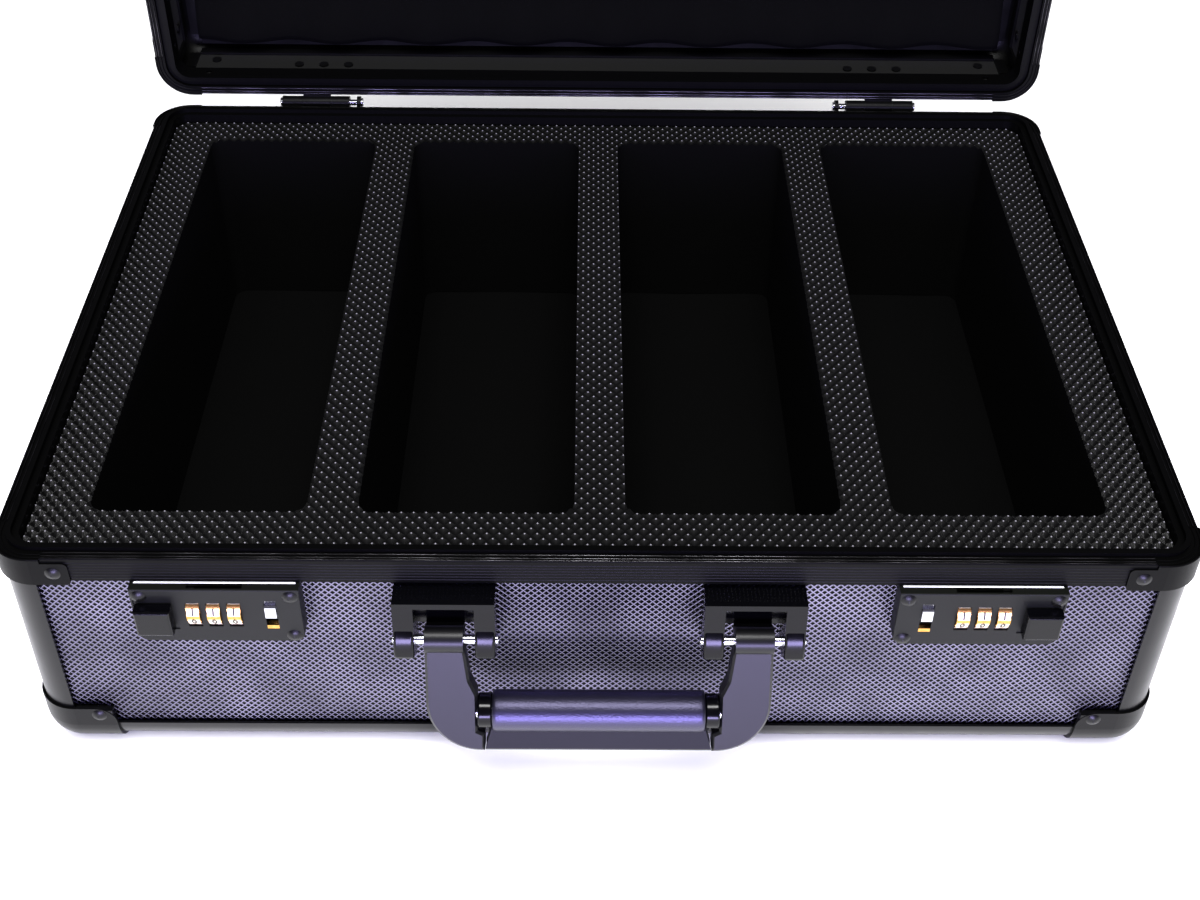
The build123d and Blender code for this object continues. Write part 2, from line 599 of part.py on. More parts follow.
def lock_plate():
    """The right lock's face housing, open at the back, with windows for what works in it."""
    x = (LOCK_X - LOCK_W / 2, LOCK_X + LOCK_W / 2)
    back = PANEL_Y - GAP
    plate = slab(x, (LOCK_Y, back), (LOCK_Z0, LOCK_Z1))
    low = plate.edges().filter_by(Axis.Y).group_by(Axis.Z)[0]
    plate = fillet(low, 4.0)
    plate = fillet(plate.faces().sort_by(Axis.Y)[0].edges(), 0.5)
    inner_x = (x[0] + LOCK_WALL + 0.4, x[1] - LOCK_WALL)
    inner = slab(inner_x, (LOCK_Y + LOCK_WALL, back + 1), (LOCK_Z0 + 1.2, LOCK_Z1 - 1.2))
    low = inner.edges().filter_by(Axis.Y).group_by(Axis.Z)[0]
    plate -= fillet(low, 3.0)
    for rx, rz in lock_rivet_spots():
        boss = Cylinder(LOCK_BOSS_R, back - LOCK_Y - 0.4)
        plate += Pos(rx, (LOCK_Y + back) / 2 + 0.2, rz) * Rot(90, 0, 0) * boss
    half = DIAL_W / 2 + 0.15
    tall = (DIAL_R**2 - (DIAL_R - DIAL_PROUD - LOCK_WALL) ** 2) ** 0.5 + DIAL_ROOM
    for i in range(3):
        c = DIAL_X + i * DIAL_PITCH
        plate -= slab((c - half, c + half), (LOCK_Y - 1, LOCK_Y + 2), (DIAL_Z - tall, DIAL_Z + tall))
    plate -= slab(LEVER_X, (LOCK_Y - 1, LOCK_Y + 2), LEVER_SLOT_Z)
    shank_x = (BUTTON_X[0] + 1.5, BUTTON_X[0] + 7.3 + BOLT_TRAVEL)
    plate -= slab((shank_x[0], shank_x[1]), (LOCK_Y - 1, LOCK_Y + 2), (DIAL_Z - 4.1, DIAL_Z + 3.7))
    recess_z = (BUTTON_Z[0] - 1.4, BUTTON_Z[1] + 4.0)
    plate -= slab((BUTTON_X[0] - 1.4, x[1] - 0.8), (LOCK_Y - 1, LOCK_Y + 0.5), recess_z)
    slot = (LOCK_Y + LOCK_WALL, LOCK_Y + LOCK_WALL + 2.4)
    mouth = (LOCK_X - TONGUE_W / 2 - 0.5, LOCK_X + TONGUE_W / 2 + 0.5)
    plate -= slab(mouth, slot, (LOCK_Z1 - 3, LOCK_Z1 + 1))
    for rx, rz in lock_rivet_spots():
        plate -= hole(rx, LOCK_Y, rz, (0, -1, 0))
    return plate


def lock_case():
    """The right lock's dial case: a box through the panel with a wall between dials."""
    y = (LOCK_Y + LOCK_WALL + 2.5, PANEL_Y + CASE_BACK)
    case = slab(CASE_X, y, CASE_Z)
    bays = [(CASE_X[0] + 1, CASE_X[0] + 7.9)]
    for i in range(3):
        c = DIAL_X + i * DIAL_PITCH
        bays.append((c - DIAL_W / 2 - 0.1, c + DIAL_W / 2 + 0.1))
    for bay in bays:
        case -= slab(bay, (y[0] - 1, y[1] - 1), (CASE_Z[0] + 1, CASE_Z[1] - 1))
    dial_y = LOCK_Y - DIAL_PROUD + DIAL_R
    return case - rod_x(AXLE_R + RIVET_FIT, CASE_X[0] - 1, CASE_X[1] + 1, dial_y, DIAL_Z)


def dial(i):
    """One number wheel of the right lock: ten flats with a shallow groove between them."""
    x = DIAL_X + i * DIAL_PITCH
    y = LOCK_Y - DIAL_PROUD + DIAL_R
    wheel = rod_x(DIAL_R, x - DIAL_W / 2, x + DIAL_W / 2, y, DIAL_Z)
    for k in range(10):
        a = radians(36 * k + 18)
        cy, cz = y + (DIAL_R + 0.25) * cos(a), DIAL_Z + (DIAL_R + 0.25) * sin(a)
        wheel -= rod_x(0.8, x - DIAL_W, x + DIAL_W, cy, cz)
    return wheel - rod_x(AXLE_R + AXLE_FIT, x - DIAL_W, x + DIAL_W, y, DIAL_Z)


def dial_axle():
    """The rod that the right lock's dials turn on."""
    return rod_x(AXLE_R, CASE_X[0] + 0.2, CASE_X[1] - 0.2, LOCK_Y - DIAL_PROUD + DIAL_R, DIAL_Z)


def lock_button():
    """The right lock's thumb button and the square shank behind it."""
    y = (LOCK_Y - BUTTON_PROUD, LOCK_Y - GAP)
    button = slab(BUTTON_X, y, BUTTON_Z)
    front = button.faces().sort_by(Axis.Y)[0]
    button = fillet(front.edges(), 1.0)
    shank_x = (BUTTON_X[0] + 1.7, BUTTON_X[0] + 7.1)
    shank = slab(shank_x, (LOCK_Y - 1, LOCK_Y + LOCK_WALL + 0.3), (DIAL_Z - 3.9, DIAL_Z + 3.5))
    return button + shank


def lock_bolt():
    """The right lock's sliding bolt: a plate behind the face with a finger over the tongue."""
    y = (LOCK_Y + LOCK_WALL + 0.1, LOCK_Y + LOCK_WALL + 2.3)
    top = LOCK_Z1 - LOCK_RIVET_DROP - LOCK_BOSS_R - 2 * SLIP
    plate = slab((BUTTON_X[0] - 0.9, BUTTON_X[0] + 9.0), y, (DIAL_Z - 6.5, top))
    plate += slab((BUTTON_X[0] - 0.9, BUTTON_X[0] + 2.2), y, (top - 0.2, DIAL_Z + 11.6))
    reach = LOCK_X + TONGUE_W / 2 - 2.4
    plate += slab((reach, BUTTON_X[0]), y, (DIAL_Z + 9.9, DIAL_Z + 11.6))
    plate += slab((BUTTON_X[0] - 0.9, BUTTON_X[0] + 0.5), y, (DIAL_Z - 11.0, DIAL_Z - 6.0))
    shank_x = (BUTTON_X[0] + 1.7 - GAP, BUTTON_X[0] + 7.1 + GAP)
    shank_z = (DIAL_Z - 3.9 - GAP, DIAL_Z + 3.5 + GAP)
    return plate - slab(shank_x, (LOCK_Y, LOCK_Y + LOCK_WALL + 0.3 + GAP), shank_z)


def lock_spring():
    """The right lock's return spring, between the bolt's tab and the housing's outer wall."""
    start = BUTTON_X[0] + 0.8
    end = LOCK_X + LOCK_W / 2 - LOCK_WALL - 0.5
    y = LOCK_Y + LOCK_WALL + 1.6
    turns = 7
    path = Helix((end - start) / turns, end - start, 1.1)
    wire_face = Plane(origin=path @ 0, z_dir=path % 0) * Circle(0.22)
    coil = sweep(wire_face, path=path, is_frenet=True)
    return Pos(start, y, DIAL_Z - 8.6) * Rot(0, 90, 0) * coil


def change_lever():
    """The right lock's change lever: a thumb piece in the slot and a foot behind the face."""
    x = (LEVER_X[0] + SLIP, LEVER_X[1] - SLIP)
    nib = slab(x, (LOCK_Y - 0.9, LOCK_Y + LOCK_WALL + 0.5), LEVER_Z)
    nib = chamfer(nib.faces().sort_by(Axis.Y)[0].edges().filter_by(Axis.X), 0.7)
    foot_y = (LOCK_Y + LOCK_WALL + 0.1, LOCK_Y + LOCK_WALL + 2.2)
    foot_x = (LEVER_X[0] - 1.5, LEVER_X[1] + 1.5)
    return nib + slab(foot_x, foot_y, (LEVER_Z[0] - 0.5, LEVER_Z[1] + 1.5))


def lever_stop():
    """The brass block at the foot of the lever's slot."""
    x = (LEVER_X[0] + GAP, LEVER_X[1] - GAP)
    y = (LOCK_Y + 0.1, LOCK_Y + LOCK_WALL + 1.6)
    stop = slab(x, y, (LEVER_SLOT_Z[0] + GAP, LEVER_SLOT_Z[0] + 1.9))
    foot_y = (LOCK_Y + LOCK_WALL + GAP, y[1])
    foot = slab((x[0] - 1.0, x[1] + 1.0), foot_y, (LEVER_SLOT_Z[0] - 1.5, LEVER_SLOT_Z[0] + 1.0))
    return stop + foot


def lock_rivets():
    """The right lock's rivets, through its plate and the panel."""
    grip = PANEL_BACK + LOCK_OUT + GAP
    spots = lock_rivet_spots()
    return [facing(x, LOCK_Y, z, (0, -1, 0)) * rivet(grip) for x, z in spots]


def hasp_bracket():
    """The right hasp's bracket on the lid's front, case shut: a plate with two knuckles."""
    x = (LOCK_X - HASP_W / 2, LOCK_X + HASP_W / 2)
    face = -HY - 0.9
    low = BASE_HEIGHT + LID_GAP
    plate = slab(x, (face, -HY - LEAF_OFF), (low + 2, low + HASP_PLATE_UP))
    plate += slab(x, (face, PANEL_Y - GAP), (low + RIM_H + SLIP, low + HASP_PLATE_UP))
    for side in (0, 1):
        span = (x[side], x[side] + (7 if side == 0 else -7))
        plate += rod_x(2.6, span[0], span[1], HASP_PIVOT_Y, HASP_PIVOT_Z)
        plate += slab(span, (HASP_PIVOT_Y + 1.4, face + 0.2), (HASP_PIVOT_Z - 2.6, HASP_PIVOT_Z + 2.6))
    plate -= rod_x(1.2 + PIN_FIT, x[0] - 1, x[1] + 1, HASP_PIVOT_Y, HASP_PIVOT_Z)
    for dx in (-12.0, 12.0):
        plate -= hole(LOCK_X + dx, -HY, low + HASP_RIVET_UP, (0, -1, 0))
    return plate


def hasp_rivets():
    """The rivets of the right hasp's bracket, case shut."""
    grip = PANEL_BACK + 0.9 + GAP
    z = BASE_HEIGHT + LID_GAP + HASP_RIVET_UP
    spots = (LOCK_X - 12.0, LOCK_X + 12.0)
    return [facing(x, -HY - 0.9, z, (0, -1, 0)) * rivet(grip) for x in spots]


def hasp():
    """The right hasp, case shut: a knuckle, a wide plate and the tongue with the bolt's notch."""
    y = (LOCK_Y + LOCK_WALL + 0.5, LOCK_Y + LOCK_WALL + 0.5 + TONGUE_T)
    wide = (LOCK_X - HASP_W / 2, LOCK_X + HASP_W / 2)
    body = slab(wide, y, (LOCK_Z1 + 4, HASP_PIVOT_Z - 3.4))
    knuckle = (wide[0] + 7.2, wide[1] - 7.2)
    body += slab(knuckle, y, (HASP_PIVOT_Z - 4, HASP_PIVOT_Z))
    body += rod_x(2.6, knuckle[0], knuckle[1], HASP_PIVOT_Y, HASP_PIVOT_Z)
    narrow = (LOCK_X - TONGUE_W / 2, LOCK_X + TONGUE_W / 2)
    body += slab(narrow, y, (HASP_TIP, LOCK_Z1 + 5))
    notch = (narrow[1] - 3.2, narrow[1] + 1)
    body -= slab(notch, (y[0] - 1, y[1] + 1), (DIAL_Z + 9.6, DIAL_Z + 12.1))
    return body - rod_x(1.2 + PIN_FIT, wide[0] - 1, wide[1] + 1, HASP_PIVOT_Y, HASP_PIVOT_Z)


def hasp_pin():
    """The right hasp's pin."""
    return rod_x(1.2, LOCK_X - HASP_W / 2 - 0.3, LOCK_X + HASP_W / 2 + 0.3, HASP_PIVOT_Y, HASP_PIVOT_Z)


# Base
base = tray(BASE_HEIGHT, True)
lock_window_x = (CASE_X[0] - SLIP, CASE_X[1] + SLIP)
lock_window_z = (CASE_Z[0] - SLIP, CASE_Z[1] + SLIP)
window = slab(lock_window_x, (PANEL_Y - 1, PANEL_Y + PANEL_T + 1), lock_window_z)
for side in mirrored(window):
    base["front"] -= side
for x, z in lock_rivet_spots():
    for side in mirrored(hole(x, -HY, z, (0, -1, 0))):
        base["front"] -= side
for x in (BRACKET_X - BRACKET_W / 2 + LUG_W / 2, BRACKET_X + BRACKET_W / 2 - LUG_W / 2):
    for side in mirrored(hole(x, -HY, BRACKET_RIVET_Z, (0, -1, 0))):
        base["front"] -= side
for dx, drop in hinge_rivet_spots():
    for side in mirrored(hole(HINGE_X + dx, HY, HINGE_Z - drop, (0, 1, 0))):
        base["back"] -= side
for piece in hinge_rivets(-1) + bracket_rivets():
    base["rivets"] += mirrored(piece)

save("floor_panel", base["bottom"])
save("front_panel", base["front"])
save("back_panel", base["back"])
save("left_panel", base["left"])
save("right_panel", base["right"])
save("bottom_edge_extrusions", base["edges"])
save("corner_posts", base["posts"])
save("rim_rails", base["rails"])
save("rim_corners", base["corners"])
save("corner_caps", base["caps"])
save("base_rivets", base["rivets"])
save("foam_insert", foam_insert())
save("floor_pad", floor_pad())

# Lid
lid = tray(LID_HEIGHT, False)
for key in ("bottom", "front", "back", "left", "right"):
    lid[key] = lid_tray(lid[key])
for dx, rise in hinge_rivet_spots():
    for side in mirrored(hole(HINGE_X + dx, HY, HINGE_Z + LID_GAP + rise, (0, 1, 0))):
        lid["front"] -= side
for dx in (-12.0, 12.0):
    for side in mirrored(hole(LOCK_X + dx, -HY, BASE_HEIGHT + LID_GAP + HASP_RIVET_UP, (0, -1, 0))):
        lid["back"] -= side
lid_rivets = [lid_tray(piece) for piece in lid["rivets"]]
for piece in hinge_rivets(1) + hasp_rivets():
    lid_rivets += mirrored(piece)

save("lid_top_panel", opened(lid["bottom"]))
save("lid_front_panel", opened(lid["back"]))
save("lid_back_panel", opened(lid["front"]))
save("lid_left_panel", opened(lid["left"]))
save("lid_right_panel", opened(lid["right"]))
save("lid_edge_extrusions", [opened(lid_tray(s)) for s in lid["edges"]])
save("lid_corner_posts", [opened(lid_tray(s)) for s in lid["posts"]])
save("lid_rim_rails", [opened(lid_tray(s)) for s in lid["rails"]])
save("lid_rim_corners", [opened(lid_tray(s)) for s in lid["corners"]])
save("lid_corner_caps", [opened(lid_tray(s)) for s in lid["caps"]])
save("lid_rivets", [opened(s) for s in lid_rivets])
save("egg_crate_foam", opened(lid_tray(egg_crate())))

# Hinges
save("hinge_base_leaves", mirrored(base_leaf()))
save("hinge_lid_leaves", [opened(s) for s in mirrored(lid_leaf())])
save("hinge_pins", mirrored(hinge_pin()))

# Handle
save("handle_brackets", mirrored(handle_bracket()))
save("handle_pins", mirrored(handle_pin()))
save("handle_arms", [hung(s) for s in mirrored(handle_arm())])
save("handle_core_rod", hung(handle_rod()))
save("handle_grip", hung(handle_grip()))
save("handle_ferrules", [hung(s) for s in mirrored(ferrule())])

# Locks
sides = (("right", 0), ("left", 1))
plates, cases = mirrored(lock_plate()), mirrored(lock_case())
buttons, bolts = mirrored(lock_button()), mirrored(lock_bolt())
springs, levers = mirrored(lock_spring()), mirrored(change_lever())
hasps = [opened(s) for s in mirrored(hasp())]
for name, n in sides:
    save(f"lock_plate_{name}", plates[n])
    save(f"lock_case_{name}", cases[n])
    save(f"lock_button_{name}", buttons[n])
    save(f"lock_bolt_{name}", bolts[n])
    save(f"lock_spring_{name}", springs[n])
    save(f"change_lever_{name}", levers[n])
    save(f"hasp_{name}", hasps[n])
for i, place in enumerate(("inner", "middle", "outer")):
    for name, n in sides:
        save(f"dial_{name}_{place}", mirrored(dial(i))[n])
save("dial_axles", mirrored(dial_axle()))
save("lever_stops", mirrored(lever_stop()))
save("lock_rivets", [s for piece in lock_rivets() for s in mirrored(piece)])

# Hasp mountings
save("hasp_brackets", [opened(s) for s in mirrored(hasp_bracket())])
save("hasp_pins", [opened(s) for s in mirrored(hasp_pin())])
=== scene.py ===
import json
import math

import bmesh
import bpy
from mathutils import Matrix, Vector


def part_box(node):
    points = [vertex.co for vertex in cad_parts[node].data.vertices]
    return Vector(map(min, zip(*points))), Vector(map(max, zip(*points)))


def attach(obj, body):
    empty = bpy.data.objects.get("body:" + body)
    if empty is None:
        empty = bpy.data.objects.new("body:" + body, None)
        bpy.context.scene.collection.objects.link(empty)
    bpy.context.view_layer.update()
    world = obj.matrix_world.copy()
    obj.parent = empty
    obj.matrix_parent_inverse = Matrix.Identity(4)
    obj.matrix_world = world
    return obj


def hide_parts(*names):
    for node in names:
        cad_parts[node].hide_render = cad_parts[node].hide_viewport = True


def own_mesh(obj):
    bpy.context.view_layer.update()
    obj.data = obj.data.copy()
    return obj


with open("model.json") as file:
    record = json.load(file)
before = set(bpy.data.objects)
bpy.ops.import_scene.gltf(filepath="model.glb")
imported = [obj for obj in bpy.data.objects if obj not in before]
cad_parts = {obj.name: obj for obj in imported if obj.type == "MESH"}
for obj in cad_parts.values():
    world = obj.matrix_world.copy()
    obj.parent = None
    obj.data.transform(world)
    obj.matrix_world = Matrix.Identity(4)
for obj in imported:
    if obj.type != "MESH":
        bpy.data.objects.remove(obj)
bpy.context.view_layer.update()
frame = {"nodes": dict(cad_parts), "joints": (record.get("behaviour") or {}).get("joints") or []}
nodes = frame["nodes"]
MM = 0.001

# ---------------------------------------------------------------- panels
# Thin fibreboard faced with a black plastic laminate that is embossed with a diagonal wire net
# round small dimples. Each panel's edges sit in the grooves of the aluminium extrusions.
# The inner face has a smooth dark lining.

LAMINATE_PITCH = 2.9  # mm between dimples along a row
LAMINATE_DEPTH = 0.24


def linear(code):
    """An sRGB hex colour as linear RGBA."""
    parts = [int(code[i : i + 2], 16) / 255 for i in (1, 3, 5)]
    return (*[c / 12.92 if c <= 0.04045 else ((c + 0.055) / 1.055) ** 2.4 for c in parts], 1.0)


def add(tree, kind, inputs=None, **settings):
    """Adds a node with its settings, values and links."""
    made = tree.nodes.new(kind)
    for key, value in settings.items():
        setattr(made, key, value)
    for key, value in (inputs or {}).items():
        if isinstance(value, bpy.types.NodeSocket):
            tree.links.new(value, made.inputs[key])
        else:
            made.inputs[key].default_value = value
    return made


def finish(name, colour, **surface):
    """A new material: its tree and its shader, with values that are the same all over."""
    material = bpy.data.materials.new(name)
    material.use_nodes = True
    tree = material.node_tree
    shader = tree.nodes["Principled BSDF"]
    shader.inputs["Base Color"].default_value = linear(colour)
    for key, value in surface.items():
        shader.inputs[key.replace("_", " ")].default_value = value
    return material, tree, shader


def millimetres(tree, scale):
    """Object coordinates, scaled so that one unit is the given number of millimetres."""
    place = add(tree, "ShaderNodeTexCoord")
    factor = 1 / (scale * MM)
    mapping = add(tree, "ShaderNodeMapping", {"Vector": place.outputs["Object"]})
    mapping.inputs["Scale"].default_value = (factor, factor, factor)
    return mapping.outputs["Vector"]


def roughen(tree, shader, height, distance, strength=1.0):
    """Bumps the surface by a height from 0 to 1, over a depth in millimetres."""
    bump = add(tree, "ShaderNodeBump", {"Height": height, "Distance": distance * MM, "Strength": strength})
    tree.links.new(bump.outputs["Normal"], shader.inputs["Normal"])


# Embossed laminate: the net's wires are painted a pale violet-grey sheen, a painted reflection, and the dimples
# stay the laminate's own black.
laminate, tree, shader = finish("embossed_laminate", "#8a84a0", Roughness=0.24, Metallic=1.0)
hollow = add(tree, "ShaderNodeAttribute", attribute_name="hollow")
sheen_noise = add(tree, "ShaderNodeTexNoise", {"Vector": millimetres(tree, 26), "Scale": 1.0, "Detail": 3.0})
net_sheen = add(tree, "ShaderNodeValToRGB", {"Fac": sheen_noise.outputs["Fac"]})
net_sheen.color_ramp.elements[0].position, net_sheen.color_ramp.elements[0].color = 0.35, linear("#5c596d")
net_sheen.color_ramp.elements[1].position, net_sheen.color_ramp.elements[1].color = 0.7, linear("#78748c")
dots = add(tree, "ShaderNodeMapRange", {"Value": hollow.outputs["Fac"], "From Min": 0.17, "From Max": 0.36})
skin = add(
    tree, "ShaderNodeMix", {0: dots.outputs["Result"], 6: net_sheen.outputs["Color"], 7: linear("#040405")},
    data_type="RGBA",
)
tree.links.new(skin.outputs[2], shader.inputs["Base Color"])

# Lining paper on the inner faces: matt black with a faint tooth.
lining, tree, shader = finish("panel_lining", "#050505", Roughness=0.8)
tooth = add(tree, "ShaderNodeTexNoise", {"Vector": millimetres(tree, 0.8), "Scale": 1.0, "Detail": 2.0})
roughen(tree, shader, tooth.outputs["Fac"], 0.08)


def node_tree(name, **inputs):
    """A Geometry Nodes tree with named inputs and one geometry output."""
    tree = bpy.data.node_groups.new(name, "GeometryNodeTree")
    for key, kind in inputs.items():
        tree.interface.new_socket(key, in_out="INPUT", socket_type=f"NodeSocket{kind}")
    tree.interface.new_socket("Geometry", in_out="OUTPUT", socket_type="NodeSocketGeometry")
    return tree, add(tree, "NodeGroupInput").outputs


def reckon(tree, operation, a, b=0.0):
    """One step of arithmetic in a tree."""
    return add(tree, "ShaderNodeMath", {0: a, 1: b}, operation=operation).outputs[0]


def close_tree(tree, geometry):
    """Links a tree's last node to its output."""
    add(tree, "NodeGroupOutput", {"Geometry": geometry})


def keep(name, mesh, place=None, clean=True):
    """Puts a finished mesh in the scene, with its place in its vertices and its faces outward."""
    if place is not None:
        mesh.transform(place)
    if clean:
        work = bmesh.new()
        work.from_mesh(mesh)
        bmesh.ops.remove_doubles(work, verts=work.verts, dist=0.004 * MM)
        bmesh.ops.recalc_face_normals(work, faces=work.faces)
        work.to_mesh(mesh)
        work.free()
    mesh.name = name
    thing = bpy.data.objects.new(name, mesh)
    bpy.context.scene.collection.objects.link(thing)
    return thing


def grow(tree, values, place=None):
    """Runs a tree with these input values and returns the plain mesh that it makes."""
    seed = bpy.data.objects.new("seed", bpy.data.meshes.new("seed"))
    bpy.context.scene.collection.objects.link(seed)
    modifier = seed.modifiers.new("grow", "NODES")
    modifier.node_group = tree
    for item in tree.interface.items_tree:
        if item.in_out == "INPUT" and item.name in values:
            modifier[item.identifier] = values[item.name]
    graph = bpy.context.evaluated_depsgraph_get()
    mesh = bpy.data.meshes.new_from_object(seed.evaluated_get(graph))
    bpy.data.objects.remove(seed)
    if place is not None:
        mesh.transform(place)
    return mesh


def joined(meshes):
    """Several plain meshes as one."""
    work = bmesh.new()
    slots = []
    for mesh in meshes:
        for material in mesh.materials:
            if material not in slots:
                slots.append(material)
        start = len(work.faces)
        work.from_mesh(mesh)
        work.faces.ensure_lookup_table()
        for face in work.faces[start:]:
            face.material_index = slots.index(mesh.materials[face.material_index])
    whole = bpy.data.meshes.new("joined")
    work.to_mesh(whole)
    work.free()
    for material in slots:
        whole.materials.append(material)
    return whole


embossed, given = node_tree(
    "embossed_sheet", Columns="Int", Rows="Int", Cell_Width="Float", Cell_Height="Float",
    Depth="Float", Thickness="Float", Window_X="Float", Window_Y="Float",
    Window_Half_Width="Float", Window_Half_Height="Float", Face="Material", Back="Material",
)
grids = []
for less in (0, 1):
    across = reckon(embossed, "SUBTRACT", given["Columns"], float(less))
    down = reckon(embossed, "SUBTRACT", given["Rows"], float(less))
    wide = reckon(embossed, "MULTIPLY", reckon(embossed, "SUBTRACT", across, 1.0), given["Cell_Width"])
    tall = reckon(embossed, "MULTIPLY", reckon(embossed, "SUBTRACT", down, 1.0), given["Cell_Height"])
    sizes = {"Size X": wide, "Size Y": tall, "Vertices X": across, "Vertices Y": down}
    grids.append(add(embossed, "GeometryNodeMeshGrid", sizes).outputs["Mesh"])
lattice = add(embossed, "GeometryNodeJoinGeometry")
for grid in grids:
    embossed.links.new(grid, lattice.inputs["Geometry"])
spot = add(embossed, "ShaderNodeSeparateXYZ", {0: add(embossed, "GeometryNodeInputPosition").outputs[0]})
from_x = reckon(embossed, "SUBTRACT", reckon(embossed, "ABSOLUTE", spot.outputs["X"]), given["Window_X"])
from_y = reckon(embossed, "SUBTRACT", spot.outputs["Y"], given["Window_Y"])
inside_x = reckon(embossed, "LESS_THAN", reckon(embossed, "ABSOLUTE", from_x), given["Window_Half_Width"])
inside_y = reckon(embossed, "LESS_THAN", reckon(embossed, "ABSOLUTE", from_y), given["Window_Half_Height"])
window = reckon(embossed, "MULTIPLY", inside_x, inside_y)
left = add(
    embossed, "GeometryNodeDeleteGeometry",
    {"Geometry": lattice.outputs["Geometry"], "Selection": window}, domain="POINT",
)
dimple = add(
    embossed, "GeometryNodeMeshCone",
    {"Vertices": 4, "Radius Top": 0.0, "Radius Bottom": 1.0, "Depth": 1.0}, fill_type="NONE",
)
height = add(embossed, "ShaderNodeSeparateXYZ", {0: add(embossed, "GeometryNodeInputPosition").outputs[0]})
marked = add(
    embossed, "GeometryNodeStoreNamedAttribute",
    {"Geometry": dimple.outputs["Mesh"], "Name": "hollow", "Value": height.outputs["Z"]}, data_type="FLOAT",
)
half_wide = reckon(embossed, "MULTIPLY", given["Cell_Width"], 0.5)
half_tall = reckon(embossed, "MULTIPLY", given["Cell_Height"], 0.5)
deep = reckon(embossed, "MULTIPLY", given["Depth"], -1.0)
stretch = add(embossed, "ShaderNodeCombineXYZ", {"X": half_wide, "Y": half_tall, "Z": deep})
front = add(
    embossed, "GeometryNodeTransform",
    {"Geometry": marked.outputs["Geometry"], "Scale": stretch.outputs[0]},
)
tile = add(embossed, "GeometryNodeMeshCircle", {"Vertices": 4, "Radius": 1.0}, fill_type="NGON")
flat_size = add(embossed, "ShaderNodeCombineXYZ", {"X": half_wide, "Y": half_tall, "Z": 1.0})
below = reckon(embossed, "MULTIPLY", given["Thickness"], -1.0)
drop = add(embossed, "ShaderNodeCombineXYZ", {"Z": below})
behind = add(
    embossed, "GeometryNodeTransform",
    {"Geometry": tile.outputs["Mesh"], "Translation": drop.outputs[0], "Scale": flat_size.outputs[0]},
)
cell = add(embossed, "GeometryNodeJoinGeometry")
for half in (front, behind):
    embossed.links.new(half.outputs["Geometry"], cell.inputs["Geometry"])
copies = add(
    embossed, "GeometryNodeInstanceOnPoints",
    {"Points": left.outputs["Geometry"], "Instance": cell.outputs["Geometry"]},
)
real = add(embossed, "GeometryNodeRealizeInstances", {"Geometry": copies.outputs["Instances"]})
sewn = add(embossed, "GeometryNodeMergeByDistance", {"Geometry": real.outputs["Geometry"], "Distance": 0.00004})
rim_edges = reckon(embossed, "COMPARE", add(embossed, "GeometryNodeInputMeshEdgeNeighbors").outputs[0], 1.0)
level = add(embossed, "ShaderNodeSeparateXYZ", {0: add(embossed, "GeometryNodeInputPosition").outputs[0]})
upper = reckon(embossed, "GREATER_THAN", level.outputs["Z"], reckon(embossed, "MULTIPLY", below, 0.5))
outline = reckon(embossed, "MULTIPLY", rim_edges, upper)
walled = add(
    embossed, "GeometryNodeExtrudeMesh",
    {"Mesh": sewn.outputs["Geometry"], "Selection": outline, "Offset": drop.outputs[0], "Offset Scale": 1.0},
    mode="EDGES",
)
shut = add(embossed, "GeometryNodeMergeByDistance", {"Geometry": walled.outputs["Mesh"], "Distance": 0.00004})
plain = add(embossed, "GeometryNodeRealizeInstances", {"Geometry": shut.outputs["Geometry"]})
faced = add(
    embossed, "GeometryNodeSetMaterial", {"Geometry": plain.outputs["Geometry"], "Material": given["Face"]}
)
low_face = reckon(embossed, "LESS_THAN", level.outputs["Z"], reckon(embossed, "MULTIPLY", below, 0.9))
backed = add(
    embossed, "GeometryNodeSetMaterial",
    {"Geometry": faced.outputs["Geometry"], "Selection": low_face, "Material": given["Back"]},
)
close_tree(embossed, backed.outputs["Geometry"])


def standing(centre, outward, up):
    """The place of something drawn flat: its z faces outward and its y points up."""
    side = up.cross(outward)
    turned = Matrix((side, up, outward)).transposed().to_4x4()
    return Matrix.Translation(centre) @ turned


X, Y, Z = Vector((1, 0, 0)), Vector((0, 1, 0)), Vector((0, 0, 1))
case_low, case_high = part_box("lock_case_right")
lock_middle, lock_half = (case_low + case_high) / 2, (case_high - case_low) / 2
LOCK_WINDOW = {
    "Window_X": lock_middle.x, "Window_Half_Width": lock_half.x + 1.9 * MM,
    "Window_Half_Height": lock_half.z + 1.7 * MM,
}
panels = {
    "front_panel": (-Y, Z), "back_panel": (Y, Z), "left_panel": (-X, Z), "right_panel": (X, Z),
    "floor_panel": (-Z, Y), "lid_top_panel": (Y, Z), "lid_back_panel": (-Z, Y),
    "lid_front_panel": (Z, Y), "lid_left_panel": (-X, Z), "lid_right_panel": (X, Z),
}
for name, (outward, up) in panels.items():
    low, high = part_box(name)
    size, middle = high - low, (low + high) / 2
    side = up.cross(outward)
    width, tall, thick = (abs(size.dot(v)) for v in (side, up, outward))
    columns = max(2, round(width / (LAMINATE_PITCH * MM)))
    rows = max(2, round(tall / (LAMINATE_PITCH * MM)))
    values = {
        "Columns": columns, "Rows": rows, "Cell_Width": width / columns, "Cell_Height": tall / rows,
        "Depth": LAMINATE_DEPTH * MM, "Thickness": thick, "Window_X": 1.0, "Window_Y": 0.0,
        "Window_Half_Width": 0.0, "Window_Half_Height": 0.0, "Face": laminate, "Back": lining,
    }
    if name == "front_panel":
        values.update(LOCK_WINDOW, Window_Y=lock_middle.z - middle.z)
    sheet = grow(embossed, values, standing(middle + outward * thick / 2, outward, up))
    panel = keep(f"{name}_embossed", sheet)
    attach(panel, "lid" if name.startswith("lid") else "base")
    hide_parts(name)

# ---------------------------------------------------------------- extrusions
# Rounded aluminium profiles along the bottom, the corners and the lid's top, anodised black.
# They are drawn through a die, so faint lines run along them, and they slide on to the panels.

